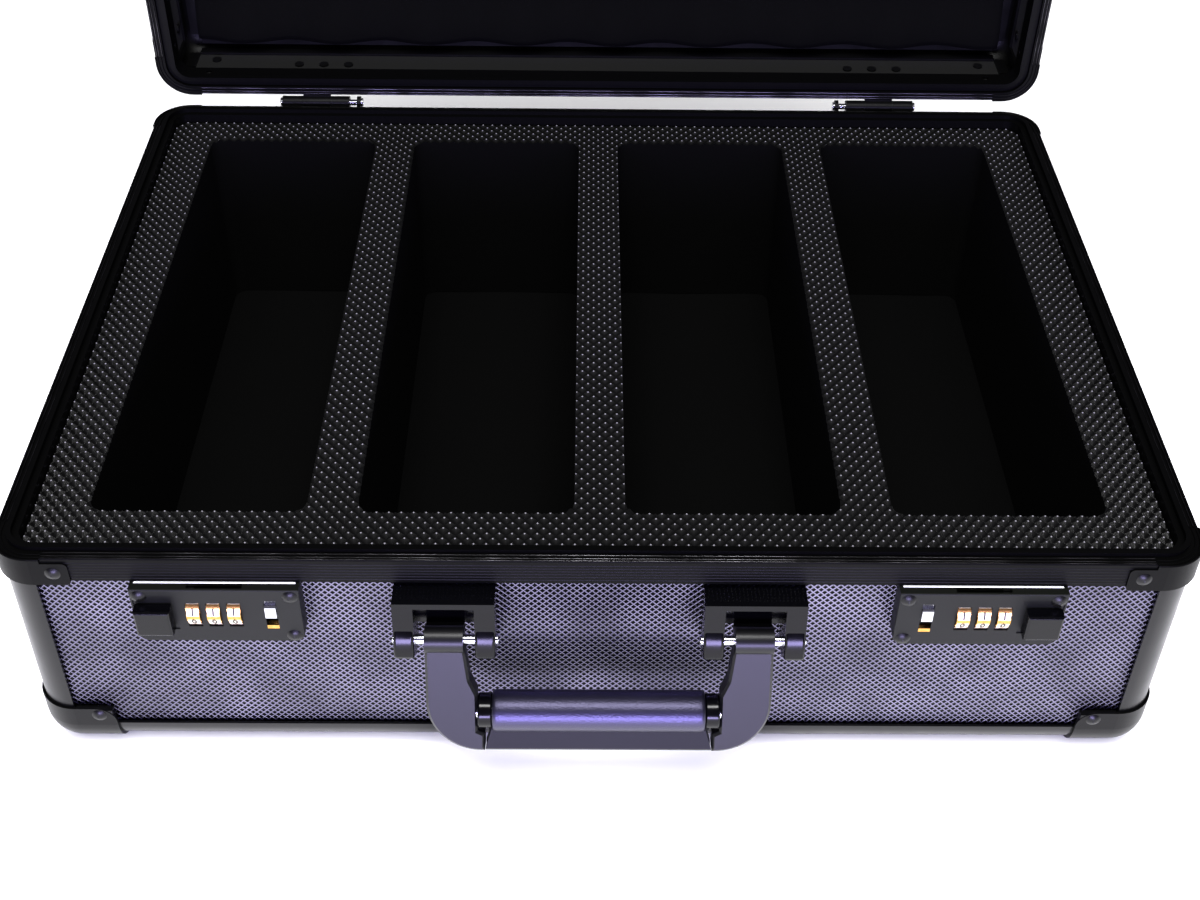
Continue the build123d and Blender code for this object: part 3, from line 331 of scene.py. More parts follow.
# Black anodised aluminium: a deep satin black that turns pale and slightly violet at a glance.
anodised, tree, shader = finish("black_anodised", "#030303", Roughness=0.3)
shader.inputs["Specular IOR Level"].default_value = 0.18
shader.inputs["Coat Weight"].default_value = 0.04
shader.inputs["Coat Roughness"].default_value = 0.22
shader.inputs["Coat Tint"].default_value = linear("#e9e2ff")
cloud = add(tree, "ShaderNodeTexNoise", {"Vector": millimetres(tree, 9), "Scale": 1.0, "Detail": 4.0})
sheen = add(tree, "ShaderNodeMapRange", {"Value": cloud.outputs["Fac"], "To Min": 0.24, "To Max": 0.4})
tree.links.new(sheen.outputs["Result"], shader.inputs["Roughness"])
grit = add(tree, "ShaderNodeTexNoise", {"Vector": millimetres(tree, 0.5), "Scale": 1.0, "Detail": 2.0})
roughen(tree, shader, grit.outputs["Fac"], 0.012)


def dress(material, *names):
    """Gives CAD nodes a finish."""
    for name in names:
        slots = nodes[name].data.materials
        if slots:
            for i in range(len(slots)):
                slots[i] = material
        else:
            slots.append(material)


dress(anodised, "bottom_edge_extrusions", "corner_posts", "lid_edge_extrusions", "lid_corner_posts")

# ---------------------------------------------------------------- rims
# The base's rim closes on the lid's: an extruded channel with beads on its nose, a tongue in
# one half and a groove in the other, and fine ribs along its outer band. Same black finish.

# The rims are matt: brushed before anodising, so they hardly shine at all.
matt, tree, shader = finish("matt_anodised", "#020202", Roughness=0.5)
shader.inputs["Specular IOR Level"].default_value = 0.06
brushed = add(tree, "ShaderNodeTexNoise", {"Vector": millimetres(tree, 0.9), "Scale": 1.0, "Detail": 3.0})
dull = add(tree, "ShaderNodeMapRange", {"Value": brushed.outputs["Fac"], "To Min": 0.32, "To Max": 0.5})
tree.links.new(dull.outputs["Result"], shader.inputs["Roughness"])

RIM_NOSE = 11.4  # mm from the foot of the base's rails up to their nose, below the tongue's tip
CORNER_LEG = 21.2  # mm of each side that a rim corner takes
RIB_R = 0.45
RIB_SUNK = 0.34  # mm of each rib that lies inside the band
RIB_PITCH = 1.5
RIB_COUNT = 6
RIB_START = 2.4  # mm from the nose to the first rib
dress(matt, "rim_rails", "lid_rim_rails")

ribs, given = node_tree(
    "rim_ribs", Count="Int", Pitch="Float", Length="Float", Radius="Float", Finish="Material"
)
step = add(ribs, "ShaderNodeCombineXYZ", {"Y": given["Pitch"]})
line = add(ribs, "GeometryNodeMeshLine", {"Count": given["Count"], "Offset": step.outputs[0]})
wire = add(
    ribs, "GeometryNodeMeshCylinder", {"Vertices": 8, "Radius": given["Radius"], "Depth": given["Length"]}
)
laid = add(
    ribs, "GeometryNodeTransform", {"Geometry": wire.outputs["Mesh"], "Rotation": (0, math.pi / 2, 0)}
)
many = add(ribs, "GeometryNodeInstanceOnPoints", {"Points": line.outputs["Mesh"], "Instance": laid.outputs[0]})
real = add(ribs, "GeometryNodeRealizeInstances", {"Geometry": many.outputs["Instances"]})
done = add(ribs, "GeometryNodeSetMaterial", {"Geometry": real.outputs[0], "Material": given["Finish"]})
close_tree(ribs, done.outputs["Geometry"])

rims = {"rim_rails": ("base", Z, (-Y, Y, -X, X)), "lid_rim_rails": ("lid", -Y, (-Z, Z, -X, X))}


def on_nose(name, mouth, outward, inset):
    """The middle of one side of a rim, at the nose and this far in from the outside, and its length."""
    low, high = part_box(name)
    size = high - low
    spot = (low + high) / 2 + outward * (abs(size.dot(outward)) / 2 - inset * MM)
    if mouth == Z:
        spot.z = low.z + RIM_NOSE * MM
    else:
        spot.y = low.y
    return spot, abs(size.dot(mouth.cross(outward))) - 2 * CORNER_LEG * MM


for name, (body, mouth, sides) in rims.items():
    runs = []
    for outward in sides:
        start, length = on_nose(name, mouth, outward, RIB_SUNK)
        start -= mouth * RIB_START * MM
        values = {
            "Count": RIB_COUNT, "Pitch": RIB_PITCH * MM, "Length": length, "Radius": RIB_R * MM,
            "Finish": matt,
        }
        runs.append(grow(ribs, values, standing(start, outward, -mouth)))
    lines = keep(f"{body}_rim_ribs", joined(runs))
    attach(lines, body)

# The beads along both noses are painted bright, a painted highlight where the noses catch the light.
bright, tree, shader = finish("painted_bead_highlight", "#5c5a5c", Roughness=0.3, Metallic=1.0)
glint_noise = add(tree, "ShaderNodeTexNoise", {"Vector": millimetres(tree, 14), "Scale": 1.0, "Detail": 3.0})
glint_tone = add(tree, "ShaderNodeValToRGB", {"Fac": glint_noise.outputs["Fac"]})
glint_tone.color_ramp.elements[0].position, glint_tone.color_ramp.elements[0].color = 0.4, linear("#2b2a2c")
glint_tone.color_ramp.elements[1].position, glint_tone.color_ramp.elements[1].color = 0.62, linear("#77757a")
tree.links.new(glint_tone.outputs["Color"], shader.inputs["Base Color"])
BEAD_INSETS = (0.65, 1.8, 3.5)  # mm from the outside
BEAD_R = 0.12
BEAD_SUNK = 0.09
for name, (body, mouth, sides) in rims.items():
    runs = []
    for outward in sides:
        for inset in BEAD_INSETS:
            place, length = on_nose(name, mouth, outward, inset)
            place -= mouth * BEAD_SUNK * MM
            values = {"Count": 1, "Pitch": 0.0, "Length": length, "Radius": BEAD_R * MM, "Finish": bright}
            runs.append(grow(ribs, values, standing(place, mouth, outward)))
    beads = keep(f"{body}_rim_beads", joined(runs))
    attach(beads, body)

# ---------------------------------------------------------------- corners and rivets
# Pressed steel caps and rim corners in black, the caps powder coated and the rim corners matt like the rims,
# each held by domed rivets.
# The rivets are aluminium, blackened with the rest.

# Powder coat on steel: satin black with a fine orange-peel surface.
powder, tree, shader = finish("powder_coat", "#030303", Roughness=0.38)
shader.inputs["Specular IOR Level"].default_value = 0.12
peel = add(tree, "ShaderNodeTexNoise", {"Vector": millimetres(tree, 1.1), "Scale": 1.0, "Detail": 2.0})
roughen(tree, shader, peel.outputs["Fac"], 0.05, 0.6)
dress(powder, "corner_caps", "lid_corner_caps")
dress(matt, "rim_corners", "lid_rim_corners")

# Blackened rivets: satin, rubbed a little brighter on their domes.
riveted, tree, shader = finish("blackened_rivet", "#040404", Roughness=0.34)
shader.inputs["Specular IOR Level"].default_value = 0.2
rub = add(tree, "ShaderNodeTexNoise", {"Vector": millimetres(tree, 1.6), "Scale": 1.0, "Detail": 3.0})
blotch = add(tree, "ShaderNodeMapRange", {"Value": rub.outputs["Fac"], "To Min": 0.22, "To Max": 0.45})
tree.links.new(blotch.outputs["Result"], shader.inputs["Roughness"])
dress(riveted, "base_rivets", "lid_rivets", "lock_rivets")

# ---------------------------------------------------------------- foam insert
# A thick block of closed-cell foam, cut with four long slots. Its top is embossed with rows of
# small raised diamonds, and the die cut slices through them at the edges of the slots.

DIAMOND_X = 4.8
DIAMOND_Y = 5.7
DIAMOND_H = 1.3

# Closed-cell foam: dull black, painted lighter towards its raised points, with a painted glint at their tips,
# and fine pores.
foam, tree, shader = finish("closed_cell_foam", "#0b0b0b", Roughness=0.3)
shader.inputs["Specular IOR Level"].default_value = 0.35
raised = add(tree, "ShaderNodeAttribute", attribute_name="hollow")
height_light = add(tree, "ShaderNodeValToRGB", {"Fac": raised.outputs["Fac"]})
height_light.color_ramp.elements[0].position, height_light.color_ramp.elements[0].color = 0.15, linear("#040404")
height_light.color_ramp.elements[1].position, height_light.color_ramp.elements[1].color = 0.78, linear("#121212")
tip_glint = height_light.color_ramp.elements.new(0.98)
tip_glint.color = linear("#8d8a96")
tree.links.new(height_light.outputs["Color"], shader.inputs["Base Color"])
pores = add(tree, "ShaderNodeTexVoronoi", {"Vector": millimetres(tree, 0.7), "Scale": 1.0})
roughen(tree, shader, pores.outputs["Distance"], 0.06, 0.7)
# Cut foam: painted darker than the foam's skin, painted shade for the deep slots, so they look almost black.
slot_shade_foam, tree, shader = finish("slot_shade_foam", "#030303", Roughness=0.95)
shader.inputs["Specular IOR Level"].default_value = 0.05
open_pores = add(tree, "ShaderNodeTexNoise", {"Vector": millimetres(tree, 0.7), "Scale": 1.0, "Detail": 2.0})
roughen(tree, shader, open_pores.outputs["Fac"], 0.12, 0.8)


def cut_to(mesh, name, skin):
    """The part of a mesh inside a CAD node's solid, with this finish on the cut."""
    work = bmesh.new()
    work.from_mesh(nodes[name].data)
    bmesh.ops.remove_doubles(work, verts=work.verts, dist=0.01 * MM)
    cutter_mesh = bpy.data.meshes.new("cutter")
    work.to_mesh(cutter_mesh)
    work.free()
    cutter_mesh.materials.clear()
    cutter_mesh.materials.append(skin)
    cutter = bpy.data.objects.new("cutter", cutter_mesh)
    stock = bpy.data.objects.new("stock", mesh)
    for thing in (cutter, stock):
        bpy.context.scene.collection.objects.link(thing)
    cut = stock.modifiers.new("cut", "BOOLEAN")
    cut.operation, cut.object, cut.solver = "INTERSECT", cutter, "EXACT"
    cut.material_mode = "TRANSFER"
    graph = bpy.context.evaluated_depsgraph_get()
    made = bpy.data.meshes.new_from_object(stock.evaluated_get(graph))
    for thing in (cutter, stock):
        bpy.data.objects.remove(thing)
    return made


low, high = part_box("foam_insert")
size, middle = high - low, (low + high) / 2
values = {
    "Columns": round(size.x / (DIAMOND_X * MM)) + 3, "Rows": round(size.y / (DIAMOND_Y * MM)) + 3,
    "Cell_Width": DIAMOND_X * MM, "Cell_Height": DIAMOND_Y * MM, "Depth": -DIAMOND_H * MM,
    "Thickness": size.z + 3 * MM, "Window_X": 1.0, "Window_Y": 0.0,
    "Window_Half_Width": 0.0, "Window_Half_Height": 0.0, "Face": foam, "Back": foam,
}
top = Vector((middle.x, middle.y, high.z - (DIAMOND_H + 0.05) * MM))
block = grow(embossed, values, standing(top, Z, Y))
work = bmesh.new()
work.from_mesh(block)
bmesh.ops.recalc_face_normals(work, faces=work.faces)
work.to_mesh(block)
work.free()
insert = keep("foam_insert_embossed", cut_to(block, "foam_insert", slot_shade_foam))
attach(insert, "base")
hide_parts("foam_insert")

# ---------------------------------------------------------------- floor pad
# A thin sheet of the same foam on the floor panel, seen only at the bottom of the slots.
# Its surface is slightly uneven, and its edges are pared 1 mm lower all round.

low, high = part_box("floor_pad")
work = bmesh.new()
bmesh.ops.create_grid(work, x_segments=60, y_segments=44, size=0.5)
for vertex in work.verts:
    u, v = vertex.co.x, vertex.co.y
    dent = 0.25 * MM * (1 + math.sin(u * 41) * math.cos(v * 33))
    edge = max(abs(u), abs(v)) > 0.499
    vertex.co = Vector((
        low.x + (u + 0.5) * (high.x - low.x), low.y + (v + 0.5) * (high.y - low.y),
        high.z - (1.0 * MM if edge else dent),
    ))
rim = bmesh.ops.extrude_edge_only(work, edges=[e for e in work.edges if e.is_boundary])
for item in rim["geom"]:
    if isinstance(item, bmesh.types.BMVert):
        item.co.z = low.z
bmesh.ops.holes_fill(work, edges=[e for e in work.edges if e.is_boundary])
pad_mesh = bpy.data.meshes.new("pad")
work.to_mesh(pad_mesh)
work.free()
# The pad takes the cut foam's dark colour, painted shade at the bottom of the slots.
pad_mesh.materials.append(slot_shade_foam)
pad = keep("floor_pad_sheet", pad_mesh)
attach(pad, "base")
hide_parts("floor_pad")

# ---------------------------------------------------------------- egg-crate foam
# A slab of open-cell foam under the lid's top, cut on rollers into rows of rounded hills and
# hollows that keep what stands in the slots from moving. It is glued to the lid's top panel.

EGG_WAVE = 49.0
EGG_LOW = 2.0

# Open-cell foam: soft, very dull black.
soft_foam, tree, shader = finish("open_cell_foam", "#030303", Roughness=0.95)
shader.inputs["Specular IOR Level"].default_value = 0.05
cells = add(tree, "ShaderNodeTexNoise", {"Vector": millimetres(tree, 0.9), "Scale": 1.0, "Detail": 3.0})
roughen(tree, shader, cells.outputs["Fac"], 0.25, 0.8)

waves, given = node_tree(
    "egg_crate", Width="Float", Height="Float", Across="Int", Up="Int", Wave="Float",
    Rise="Float", Base="Float", Shift="Float", Finish="Material",
)
sizes = {"Size X": given["Width"], "Size Y": given["Height"]}
counts = {"Vertices X": given["Across"], "Vertices Y": given["Up"]}
sheet = add(waves, "GeometryNodeMeshGrid", sizes | counts)
spot = add(waves, "ShaderNodeSeparateXYZ", {0: add(waves, "GeometryNodeInputPosition").outputs[0]})
turn = reckon(waves, "DIVIDE", 2 * math.pi, given["Wave"])
shifted = reckon(waves, "ADD", spot.outputs["X"], given["Shift"])
swing_x = reckon(waves, "SINE", reckon(waves, "MULTIPLY", shifted, turn))
swing_y = reckon(waves, "COSINE", reckon(waves, "MULTIPLY", spot.outputs["Y"], turn))
hills = reckon(waves, "MULTIPLY_ADD", reckon(waves, "ADD", swing_x, swing_y), 0.25)
waves.nodes[-1].inputs[2].default_value = 0.5
lift = reckon(waves, "ADD", reckon(waves, "MULTIPLY", hills, given["Rise"]), given["Base"])
up_by = add(waves, "ShaderNodeCombineXYZ", {"Z": lift})
moved = add(waves, "GeometryNodeSetPosition", {"Geometry": sheet.outputs["Mesh"], "Offset": up_by.outputs[0]})
real = add(waves, "GeometryNodeRealizeInstances", {"Geometry": moved.outputs[0]})
done = add(waves, "GeometryNodeSetMaterial", {"Geometry": real.outputs[0], "Material": given["Finish"]})
close_tree(waves, done.outputs["Geometry"])

low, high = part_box("egg_crate_foam")
size, middle = high - low, (low + high) / 2
values = {
    "Width": size.x, "Height": size.z, "Across": 150, "Up": 106, "Wave": EGG_WAVE * MM,
    "Rise": size.y - (EGG_LOW + 0.1) * MM, "Base": EGG_LOW * MM, "Shift": 4.0 * MM, "Finish": soft_foam,
}
back = Vector((middle.x, high.y, middle.z))
hilly = grow(waves, values, standing(back, -Y, Z))
work = bmesh.new()
work.from_mesh(hilly)
skirt = bmesh.ops.extrude_edge_only(work, edges=[e for e in work.edges if e.is_boundary])
for item in skirt["geom"]:
    if isinstance(item, bmesh.types.BMVert):
        item.co.y = high.y
bmesh.ops.holes_fill(work, edges=[e for e in work.edges if e.is_boundary])
for face in work.faces:
    face.smooth = len(face.verts) == 4
work.to_mesh(hilly)
work.free()
egg = keep("egg_crate_hills", hilly)
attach(egg, "lid")
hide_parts("egg_crate_foam")

# ---------------------------------------------------------------- hinges
# Two steel butt hinges, powder coated like the corners, riveted to the backs of both halves.
# Their pins are bare steel with a small head at each end.

# Bare steel pins and rods, polished by turning.
steel, tree, shader = finish("polished_steel", "#cfd0d6", Metallic=1.0, Roughness=0.16)
turning = add(tree, "ShaderNodeTexNoise", {"Vector": millimetres(tree, 0.6), "Scale": 1.0, "Detail": 2.0})
mark = add(tree, "ShaderNodeMapRange", {"Value": turning.outputs["Fac"], "To Min": 0.1, "To Max": 0.26})
tree.links.new(mark.outputs["Result"], shader.inputs["Roughness"])
dress(powder, "hinge_base_leaves", "hinge_lid_leaves", "hasp_brackets", "hasp_left", "hasp_right")
dress(steel, "hinge_pins", "hasp_pins", "handle_pins", "handle_core_rod", "dial_axles")

# ---------------------------------------------------------------- handle brackets
# Two moulded nylon brackets, gloss black, with a pebbled patch on top of each. A bright steel
# pin runs through each bracket's cheeks and the handle's knuckle.

PEBBLE_PITCH = 1.5
PEBBLE_R = 0.42
PEBBLE_STRAY = 0.22 * MM  # as far as a pebble strays from its place in the row
PATCH_W = 35.5
PATCH_D = 7.5
BRACKET_W = 38.6

# Gloss black nylon: mirror-like with faint flow marks from moulding.
nylon, tree, shader = finish("gloss_nylon", "#020203", Roughness=0.14)
shader.inputs["Specular IOR Level"].default_value = 0.18
flow = add(tree, "ShaderNodeTexNoise", {"Vector": millimetres(tree, 5), "Scale": 1.0, "Detail": 3.0})
gloss = add(tree, "ShaderNodeMapRange", {"Value": flow.outputs["Fac"], "To Min": 0.1, "To Max": 0.24})
tree.links.new(gloss.outputs["Result"], shader.inputs["Roughness"])
dress(nylon, "handle_brackets", "handle_ferrules", "lock_button_left", "lock_button_right")

pebbles, given = node_tree(
    "pebbled_patch", Width="Float", Depth="Float", Pitch="Float", Radius="Float", Finish="Material"
)
sown = add(pebbles, "GeometryNodeMeshGrid", {"Size X": given["Width"], "Size Y": given["Depth"]})
for key, span in (("Vertices X", "Width"), ("Vertices Y", "Depth")):
    count = reckon(pebbles, "ROUND", reckon(pebbles, "DIVIDE", given[span], given["Pitch"]))
    pebbles.links.new(reckon(pebbles, "ADD", count, 1.0), sown.inputs[key])
stray = add(
    pebbles, "FunctionNodeRandomValue",
    {"Min": (-PEBBLE_STRAY, -PEBBLE_STRAY, 0), "Max": (PEBBLE_STRAY, PEBBLE_STRAY, 0), "Seed": 7},
    data_type="FLOAT_VECTOR",
)
strewn = add(pebbles, "GeometryNodeSetPosition", {"Geometry": sown.outputs["Mesh"], "Offset": stray.outputs[0]})
bead = add(pebbles, "GeometryNodeMeshIcoSphere", {"Radius": given["Radius"], "Subdivisions": 1})
many = add(pebbles, "GeometryNodeInstanceOnPoints", {"Points": strewn.outputs[0], "Instance": bead.outputs[0]})
real = add(pebbles, "GeometryNodeRealizeInstances", {"Geometry": many.outputs["Instances"]})
done = add(pebbles, "GeometryNodeSetMaterial", {"Geometry": real.outputs[0], "Material": given["Finish"]})
close_tree(pebbles, done.outputs["Geometry"])

low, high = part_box("handle_brackets")
patches = []
for side in (-1, 1):
    x = side * (high.x - BRACKET_W / 2 * MM)
    centre = Vector((x, high.y - 4.6 * MM, high.z + 0.06 * MM))
    values = {
        "Width": PATCH_W * MM, "Depth": PATCH_D * MM, "Pitch": PEBBLE_PITCH * MM, "Radius": PEBBLE_R * MM,
        "Finish": nylon,
    }
    patches.append(grow(pebbles, values, Matrix.Translation(centre)))
patch = keep("bracket_pebbles", joined(patches))
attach(patch, "base")

# ---------------------------------------------------------------- handle
# Two flat cranked arms moulded in satin black plastic, joined by a steel rod. A round bolster
# wrapped in grained leathercloth sits on the rod, with a smooth flat web below it.

TILT = math.radians(20)
GRIP_R = 8.2
GRIP_DROP = 31.0
REACH = 46.95
GRIP_HALF = 41.1
WEB_HALF_T = 3.9

# Satin moulded plastic of the arms: dark, with a soft even glare.
satin, tree, shader = finish("satin_moulding", "#060607", Roughness=0.36)
shader.inputs["Specular IOR Level"].default_value = 0.27
spark = add(tree, "ShaderNodeTexNoise", {"Vector": millimetres(tree, 0.5), "Scale": 1.0, "Detail": 2.0})
roughen(tree, shader, spark.outputs["Fac"], 0.02, 0.6)
dress(satin, "handle_arms")

# Grained leathercloth: small rounded cells about a millimetre across, satin at their tops.
leather, tree, shader = finish("grained_leathercloth", "#030304", Roughness=0.4)
shader.inputs["Specular IOR Level"].default_value = 0.9
shader.inputs["Specular Tint"].default_value = linear("#d2ccff")
grain = add(tree, "ShaderNodeTexVoronoi", {"Vector": millimetres(tree, 0.8), "Scale": 1.0}, feature="F1")
warp = add(tree, "ShaderNodeTexNoise", {"Vector": millimetres(tree, 0.5), "Scale": 1.0, "Detail": 2.0})
mixed = add(
    tree, "ShaderNodeMix", {0: 0.35, 2: grain.outputs["Distance"], 3: warp.outputs["Fac"]}, data_type="FLOAT"
)
roughen(tree, shader, mixed.outputs[0], 0.1, 0.8)

# The web's cover is pulled flat and pressed smooth, so it is nearly as dark as the brackets.
pressed, tree, shader = finish("pressed_leathercloth", "#040405", Roughness=0.42)
shader.inputs["Specular IOR Level"].default_value = 0.16
crease = add(tree, "ShaderNodeTexNoise", {"Vector": millimetres(tree, 2.5), "Scale": 1.0, "Detail": 3.0})
roughen(tree, shader, crease.outputs["Fac"], 0.04, 0.6)

pivot = Vector(next(j for j in frame["joints"] if j["name"] == "handle_pivot")["pos_m"])
hang = Matrix.Translation(pivot) @ Matrix.Rotation(-TILT, 4, "X")

work = bmesh.new()
rings = []
stations = [(0.0, 0.93), (0.5, 0.975), (1.5, 0.998)] + [(3 + 79.0 * i / 24, 1.0) for i in range(13)]
half = [(-GRIP_HALF + x, swell) for x, swell in stations if x < GRIP_HALF]
for x, swell in half + [(-x, swell) for x, swell in reversed(half)]:
    ring = []
    for i in range(48):
        a = math.tau * i / 48
        y, z = GRIP_R * swell * math.cos(a), -GRIP_DROP + GRIP_R * swell * math.sin(a)
        ring.append(work.verts.new((x * MM, y * MM, z * MM)))
    rings.append(ring)
for a, b in zip(rings, rings[1:]):
    for i in range(48):
        j = (i + 1) % 48
        work.faces.new((a[i], a[j], b[j], b[i])).smooth = True
for end in (rings[0], rings[-1]):
    work.faces.new(end)
web = []
for y, top, foot in ((-WEB_HALF_T, -36.0, -REACH + 1.2), (-WEB_HALF_T + 1.2, -36.0, -REACH)):
    web.append([(x, y, z) for x, z in ((-41.2, top), (41.2, top), (44.0, foot), (-44.0, foot))])
web += [[(x, -y, z) for x, y, z in ring] for ring in reversed(web)]
slices = [[work.verts.new(Vector(point) * MM) for point in ring] for ring in web]
for a, b in zip(slices, slices[1:]):
    for i in range(4):
        j = (i + 1) % 4
        work.faces.new((a[i], a[j], b[j], b[i])).material_index = 1
for end in (slices[0], slices[-1]):
    work.faces.new(end).material_index = 1
grip_mesh = bpy.data.meshes.new("grip")
work.to_mesh(grip_mesh)
work.free()
grip_mesh.materials.append(leather)
grip_mesh.materials.append(pressed)
grip = keep("handle_grip_bolster", grip_mesh, hang)
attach(grip, "handle")
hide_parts("handle_grip")

# ---------------------------------------------------------------- locks
# A die-cast face housing with a powdery matt black finish, a thumb button, a change lever and
# the works behind. The housings are riveted to the front panel.

# Matt stove enamel on zinc: dark olive-grey black, faintly gritty.
enamel, tree, shader = finish("matt_enamel", "#060705", Roughness=0.5)
shader.inputs["Specular IOR Level"].default_value = 0.18
speck = add(tree, "ShaderNodeTexNoise", {"Vector": millimetres(tree, 0.4), "Scale": 1.0, "Detail": 3.0})
roughen(tree, shader, speck.outputs["Fac"], 0.03, 0.7)
dress(enamel, "lock_plate_left", "lock_plate_right", "lock_case_left", "lock_case_right")
dress(steel, "lock_bolt_left", "lock_bolt_right", "change_lever_left", "change_lever_right")

# Each bolt's return spring is a wire coil against the housing's outer end, here a steel copy of its CAD node
# fixed to the base.
for side in ("left", "right"):
    name = f"lock_spring_{side}"
    low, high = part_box(name)
    dress(steel, name)
    coil = keep(f"{name}_coil", nodes[name].data.copy())
    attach(coil, "base")
    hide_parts(name)
    length = high.x - low.x
    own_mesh(coil)

# A pale strip along the housing's upper edge, under the rim: a painted highlight where the edge catches the
# light.
edge_highlight, tree, shader = finish("painted_edge_highlight", "#f4f4f4", Metallic=0.3, Roughness=0.55)
scratch = add(tree, "ShaderNodeTexNoise", {"Vector": millimetres(tree, 1.5), "Scale": 1.0, "Detail": 2.0})
roughen(tree, shader, scratch.outputs["Fac"], 0.02)
for side in ("left", "right"):
    low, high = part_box(f"lock_plate_{side}")
    work = bmesh.new()
    bmesh.ops.create_cube(work, size=1.0)
    for vertex in work.verts:
        u = vertex.co + Vector((0.5, 0.5, 0.5))
        slant = 0.25 * MM * u.z
        vertex.co = Vector((
            low.x + 1.4 * MM + slant + u.x * (high.x - low.x - 2.8 * MM - 2 * slant),
            low.y + 3.55 * MM + slant + u.y * 1.3 * MM, high.z - 0.15 * MM + u.z * 0.3 * MM,
        ))
    edge_mesh = bpy.data.meshes.new("edge")
    work.to_mesh(edge_mesh)
    work.free()
    edge_mesh.materials.append(edge_highlight)
    lit_edge = keep(f"lock_edge_{side}", edge_mesh)
    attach(lit_edge, "base")

# ---------------------------------------------------------------- dials
# Three turned brass number wheels in each lock. Ten bright plated flats carry the digits 0 to 9,
# stamped and filled with black, and the brass shows between them.

# Lacquered brass: warm gold, slightly streaked by turning.
brass, tree, shader = finish("lacquered_brass", "#c08a3e", Metallic=1.0, Roughness=0.26)
streak = add(tree, "ShaderNodeTexNoise", {"Vector": millimetres(tree, 0.9), "Scale": 1.0, "Detail": 3.0})
tone = add(tree, "ShaderNodeValToRGB", {"Fac": streak.outputs["Fac"]})
tone.color_ramp.elements[0].color = linear("#9c6a2b")
tone.color_ramp.elements[1].color = linear("#e0b368")
tree.links.new(tone.outputs["Color"], shader.inputs["Base Color"])
# Bright plated flats: pale champagne gold.
plated, tree, shader = finish("plated_flat", "#e9dfc4", Metallic=0.6, Roughness=0.3)
tint = add(tree, "ShaderNodeTexNoise", {"Vector": millimetres(tree, 1.2), "Scale": 1.0, "Detail": 2.0})
pale = add(tree, "ShaderNodeValToRGB", {"Fac": tint.outputs["Fac"]})
pale.color_ramp.elements[0].color = linear("#d8c9a0")
pale.color_ramp.elements[1].color = linear("#f4ecd8")
tree.links.new(pale.outputs["Color"], shader.inputs["Base Color"])
# Black paint filling in the stamped digits.
filling, tree, shader = finish("digit_filling", "#140d08", Roughness=0.5)
fleck = add(tree, "ShaderNodeTexNoise", {"Vector": millimetres(tree, 0.3), "Scale": 1.0})
roughen(tree, shader, fleck.outputs["Fac"], 0.01)
dress(brass, "lever_stops")

FLAT_W = 4.5
FLAT_H = 3.2
FLAT_T = 0.5
flats, given = node_tree("dial_flats", Count="Int", Radius="Float", Width="Float", Height="Float",
                         Thickness="Float", Start="Float", Finish="Material")
row = add(flats, "GeometryNodeMeshLine", {"Count": given["Count"], "Offset": (0, 0, 0)})
index = add(flats, "GeometryNodeInputIndex").outputs[0]
slice_turn = reckon(flats, "DIVIDE", 2 * math.pi, given["Count"])
turned = reckon(flats, "ADD", reckon(flats, "MULTIPLY", index, slice_turn), given["Start"])
around = add(flats, "ShaderNodeCombineXYZ", {"X": turned})
box_size = add(
    flats, "ShaderNodeCombineXYZ", {"X": given["Width"], "Y": given["Thickness"], "Z": given["Height"]}
)
plate = add(flats, "GeometryNodeMeshCube", {"Size": box_size.outputs[0]})
reach = add(flats, "ShaderNodeCombineXYZ", {"Y": reckon(flats, "MULTIPLY", given["Radius"], -1.0)})
plate_out = add(
    flats, "GeometryNodeTransform", {"Geometry": plate.outputs["Mesh"], "Translation": reach.outputs[0]}
)
many = add(
    flats, "GeometryNodeInstanceOnPoints",
    {"Points": row.outputs["Mesh"], "Instance": plate_out.outputs[0], "Rotation": around.outputs[0]},
)
real = add(flats, "GeometryNodeRealizeInstances", {"Geometry": many.outputs["Instances"]})
done = add(flats, "GeometryNodeSetMaterial", {"Geometry": real.outputs[0], "Material": given["Finish"]})
close_tree(flats, done.outputs["Geometry"])


def digit(n):
    """The digit as a thin solid, upright in the XZ plane and facing -Y."""
    curve = bpy.data.curves.new("digit", "FONT")
    curve.body = str(n)
    curve.size = 4.2 * MM
    curve.offset = 0.14 * MM
    curve.extrude = 0.05 * MM
    curve.align_x, curve.align_y = "CENTER", "CENTER"
    curve.resolution_u = 2
    words = bpy.data.objects.new("digit", curve)
    bpy.context.scene.collection.objects.link(words)
    graph = bpy.context.evaluated_depsgraph_get()
    mesh = bpy.data.meshes.new_from_object(words.evaluated_get(graph))
    bpy.data.objects.remove(words)
    mesh.materials.clear()
    mesh.materials.append(filling)
    mesh.transform(Matrix.Rotation(math.pi / 2, 4, "X"))
    return mesh


digits = [digit(n) for n in range(10)]
for name in [n for n in nodes if n.startswith("dial_") and n != "dial_axles"]:
    dress(brass, name)
    low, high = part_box(name)
    centre = Matrix.Translation((low + high) / 2)
    radius = (high.y - low.y) / 2 - 0.28 * MM
    values = {
        "Count": 10, "Radius": radius, "Width": FLAT_W * MM, "Height": FLAT_H * MM,
        "Thickness": FLAT_T * MM, "Start": math.radians(18), "Finish": plated,
    }
    pieces = [grow(flats, values, centre)]
    for n, mesh in enumerate(digits):
        copy = mesh.copy()
        copy.transform(Matrix.Translation((0, -radius - (FLAT_T / 2 + 0.02) * MM, 0)))
        copy.transform(centre @ Matrix.Rotation(math.radians(18 - 36 * n), 4, "X"))
        pieces.append(copy)
    numbers = keep(f"{name}_numbers", joined(pieces))
    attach(numbers, name)
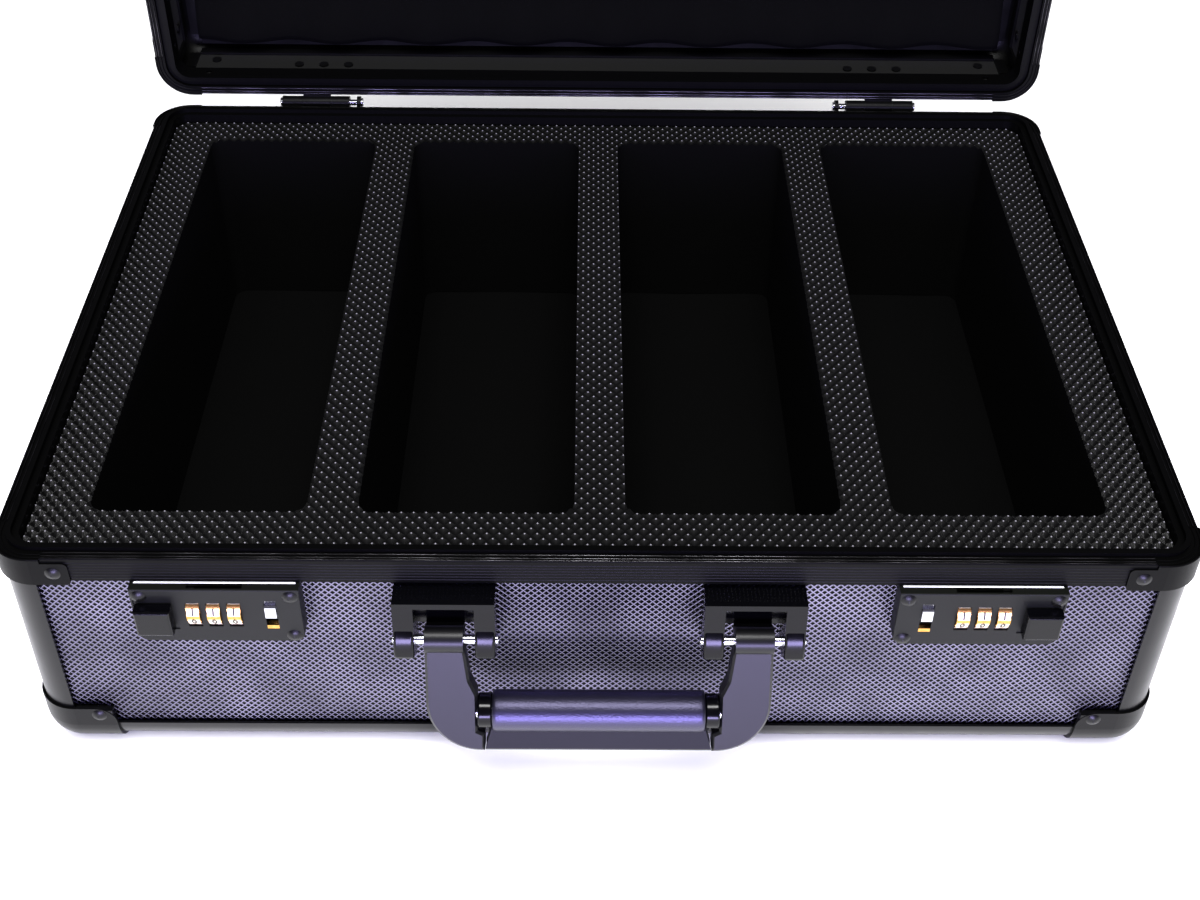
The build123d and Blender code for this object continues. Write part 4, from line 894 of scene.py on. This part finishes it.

# ---------------------------------------------------------------- studio
# A wide flat white table top that runs out of sight, a large soft light over it, and a small key light and a
# low window light in front, so that most of the light on the case's front comes up from the table.

table = bpy.data.meshes.new("table")
table.from_pydata([(-6, -6, 0), (6, -6, 0), (6, 6, 0), (-6, 6, 0)], [], [(0, 1, 2, 3)])
white, tree, shader = finish("white_table", "#fbfbfb", Roughness=0.7)
table.materials.append(white)
floor = bpy.data.objects.new("table", table)
bpy.context.scene.collection.objects.link(floor)


def soft_light(name, at, towards, wide, tall, power, colour="#ffffff"):
    """A rectangular area light that faces a point."""
    lamp = bpy.data.lights.new(name, "AREA")
    lamp.shape, lamp.size, lamp.size_y, lamp.energy = "RECTANGLE", wide, tall, power
    lamp.color = linear(colour)[:3]
    stand = bpy.data.objects.new(name, lamp)
    bpy.context.scene.collection.objects.link(stand)
    aim = (Vector(towards) - Vector(at)).to_track_quat("-Z", "Y").to_matrix().to_4x4()
    stand.matrix_world = Matrix.Translation(at) @ aim
    return stand


overhead = soft_light("overhead", (0.0, -1.2, 2.6), (0, -0.2, 0), 2.8, 2.8, 220)
overhead.visible_glossy = False
soft_light("key", (0.0, -0.45, 1.3), (0, -0.1, 0.05), 0.5, 0.3, 14)
soft_light("window", (0.0, -2.6, 0.3), (0, 0, 0.1), 1.5, 0.5, 130, "#c4baff")
sky = bpy.data.worlds.new("studio")
sky.use_nodes = True
sky.node_tree.nodes["Background"].inputs["Color"].default_value = linear("#f0ecff")
sky.node_tree.nodes["Background"].inputs["Strength"].default_value = 0.12
bpy.context.scene.world = sky
bpy.context.scene.view_settings.view_transform = "Standard"

block_low, block_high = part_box("foam_insert")
case_y = (block_low.y + block_high.y) / 2
lens = bpy.data.cameras.new("camera")
lens.sensor_width, lens.lens = 36.0, 48.884
lens.clip_start = 0.01
camera = bpy.data.objects.new("camera", lens)
bpy.context.scene.collection.objects.link(camera)
right = Vector((0.99993, -0.0034, 0.01127))
up = Vector((-0.0062, 0.6601, 0.7512))
ahead = Vector((0.00999, 0.75117, -0.66003))
right = (right - ahead * right.dot(ahead)).normalized()
up = right.cross(ahead)
camera.matrix_world = Matrix.Translation((-6.44 * MM, case_y - 594.32 * MM, 542.43 * MM)) @ Matrix(
    (right, up, -ahead)
).transposed().to_4x4()
bpy.context.scene.camera = camera
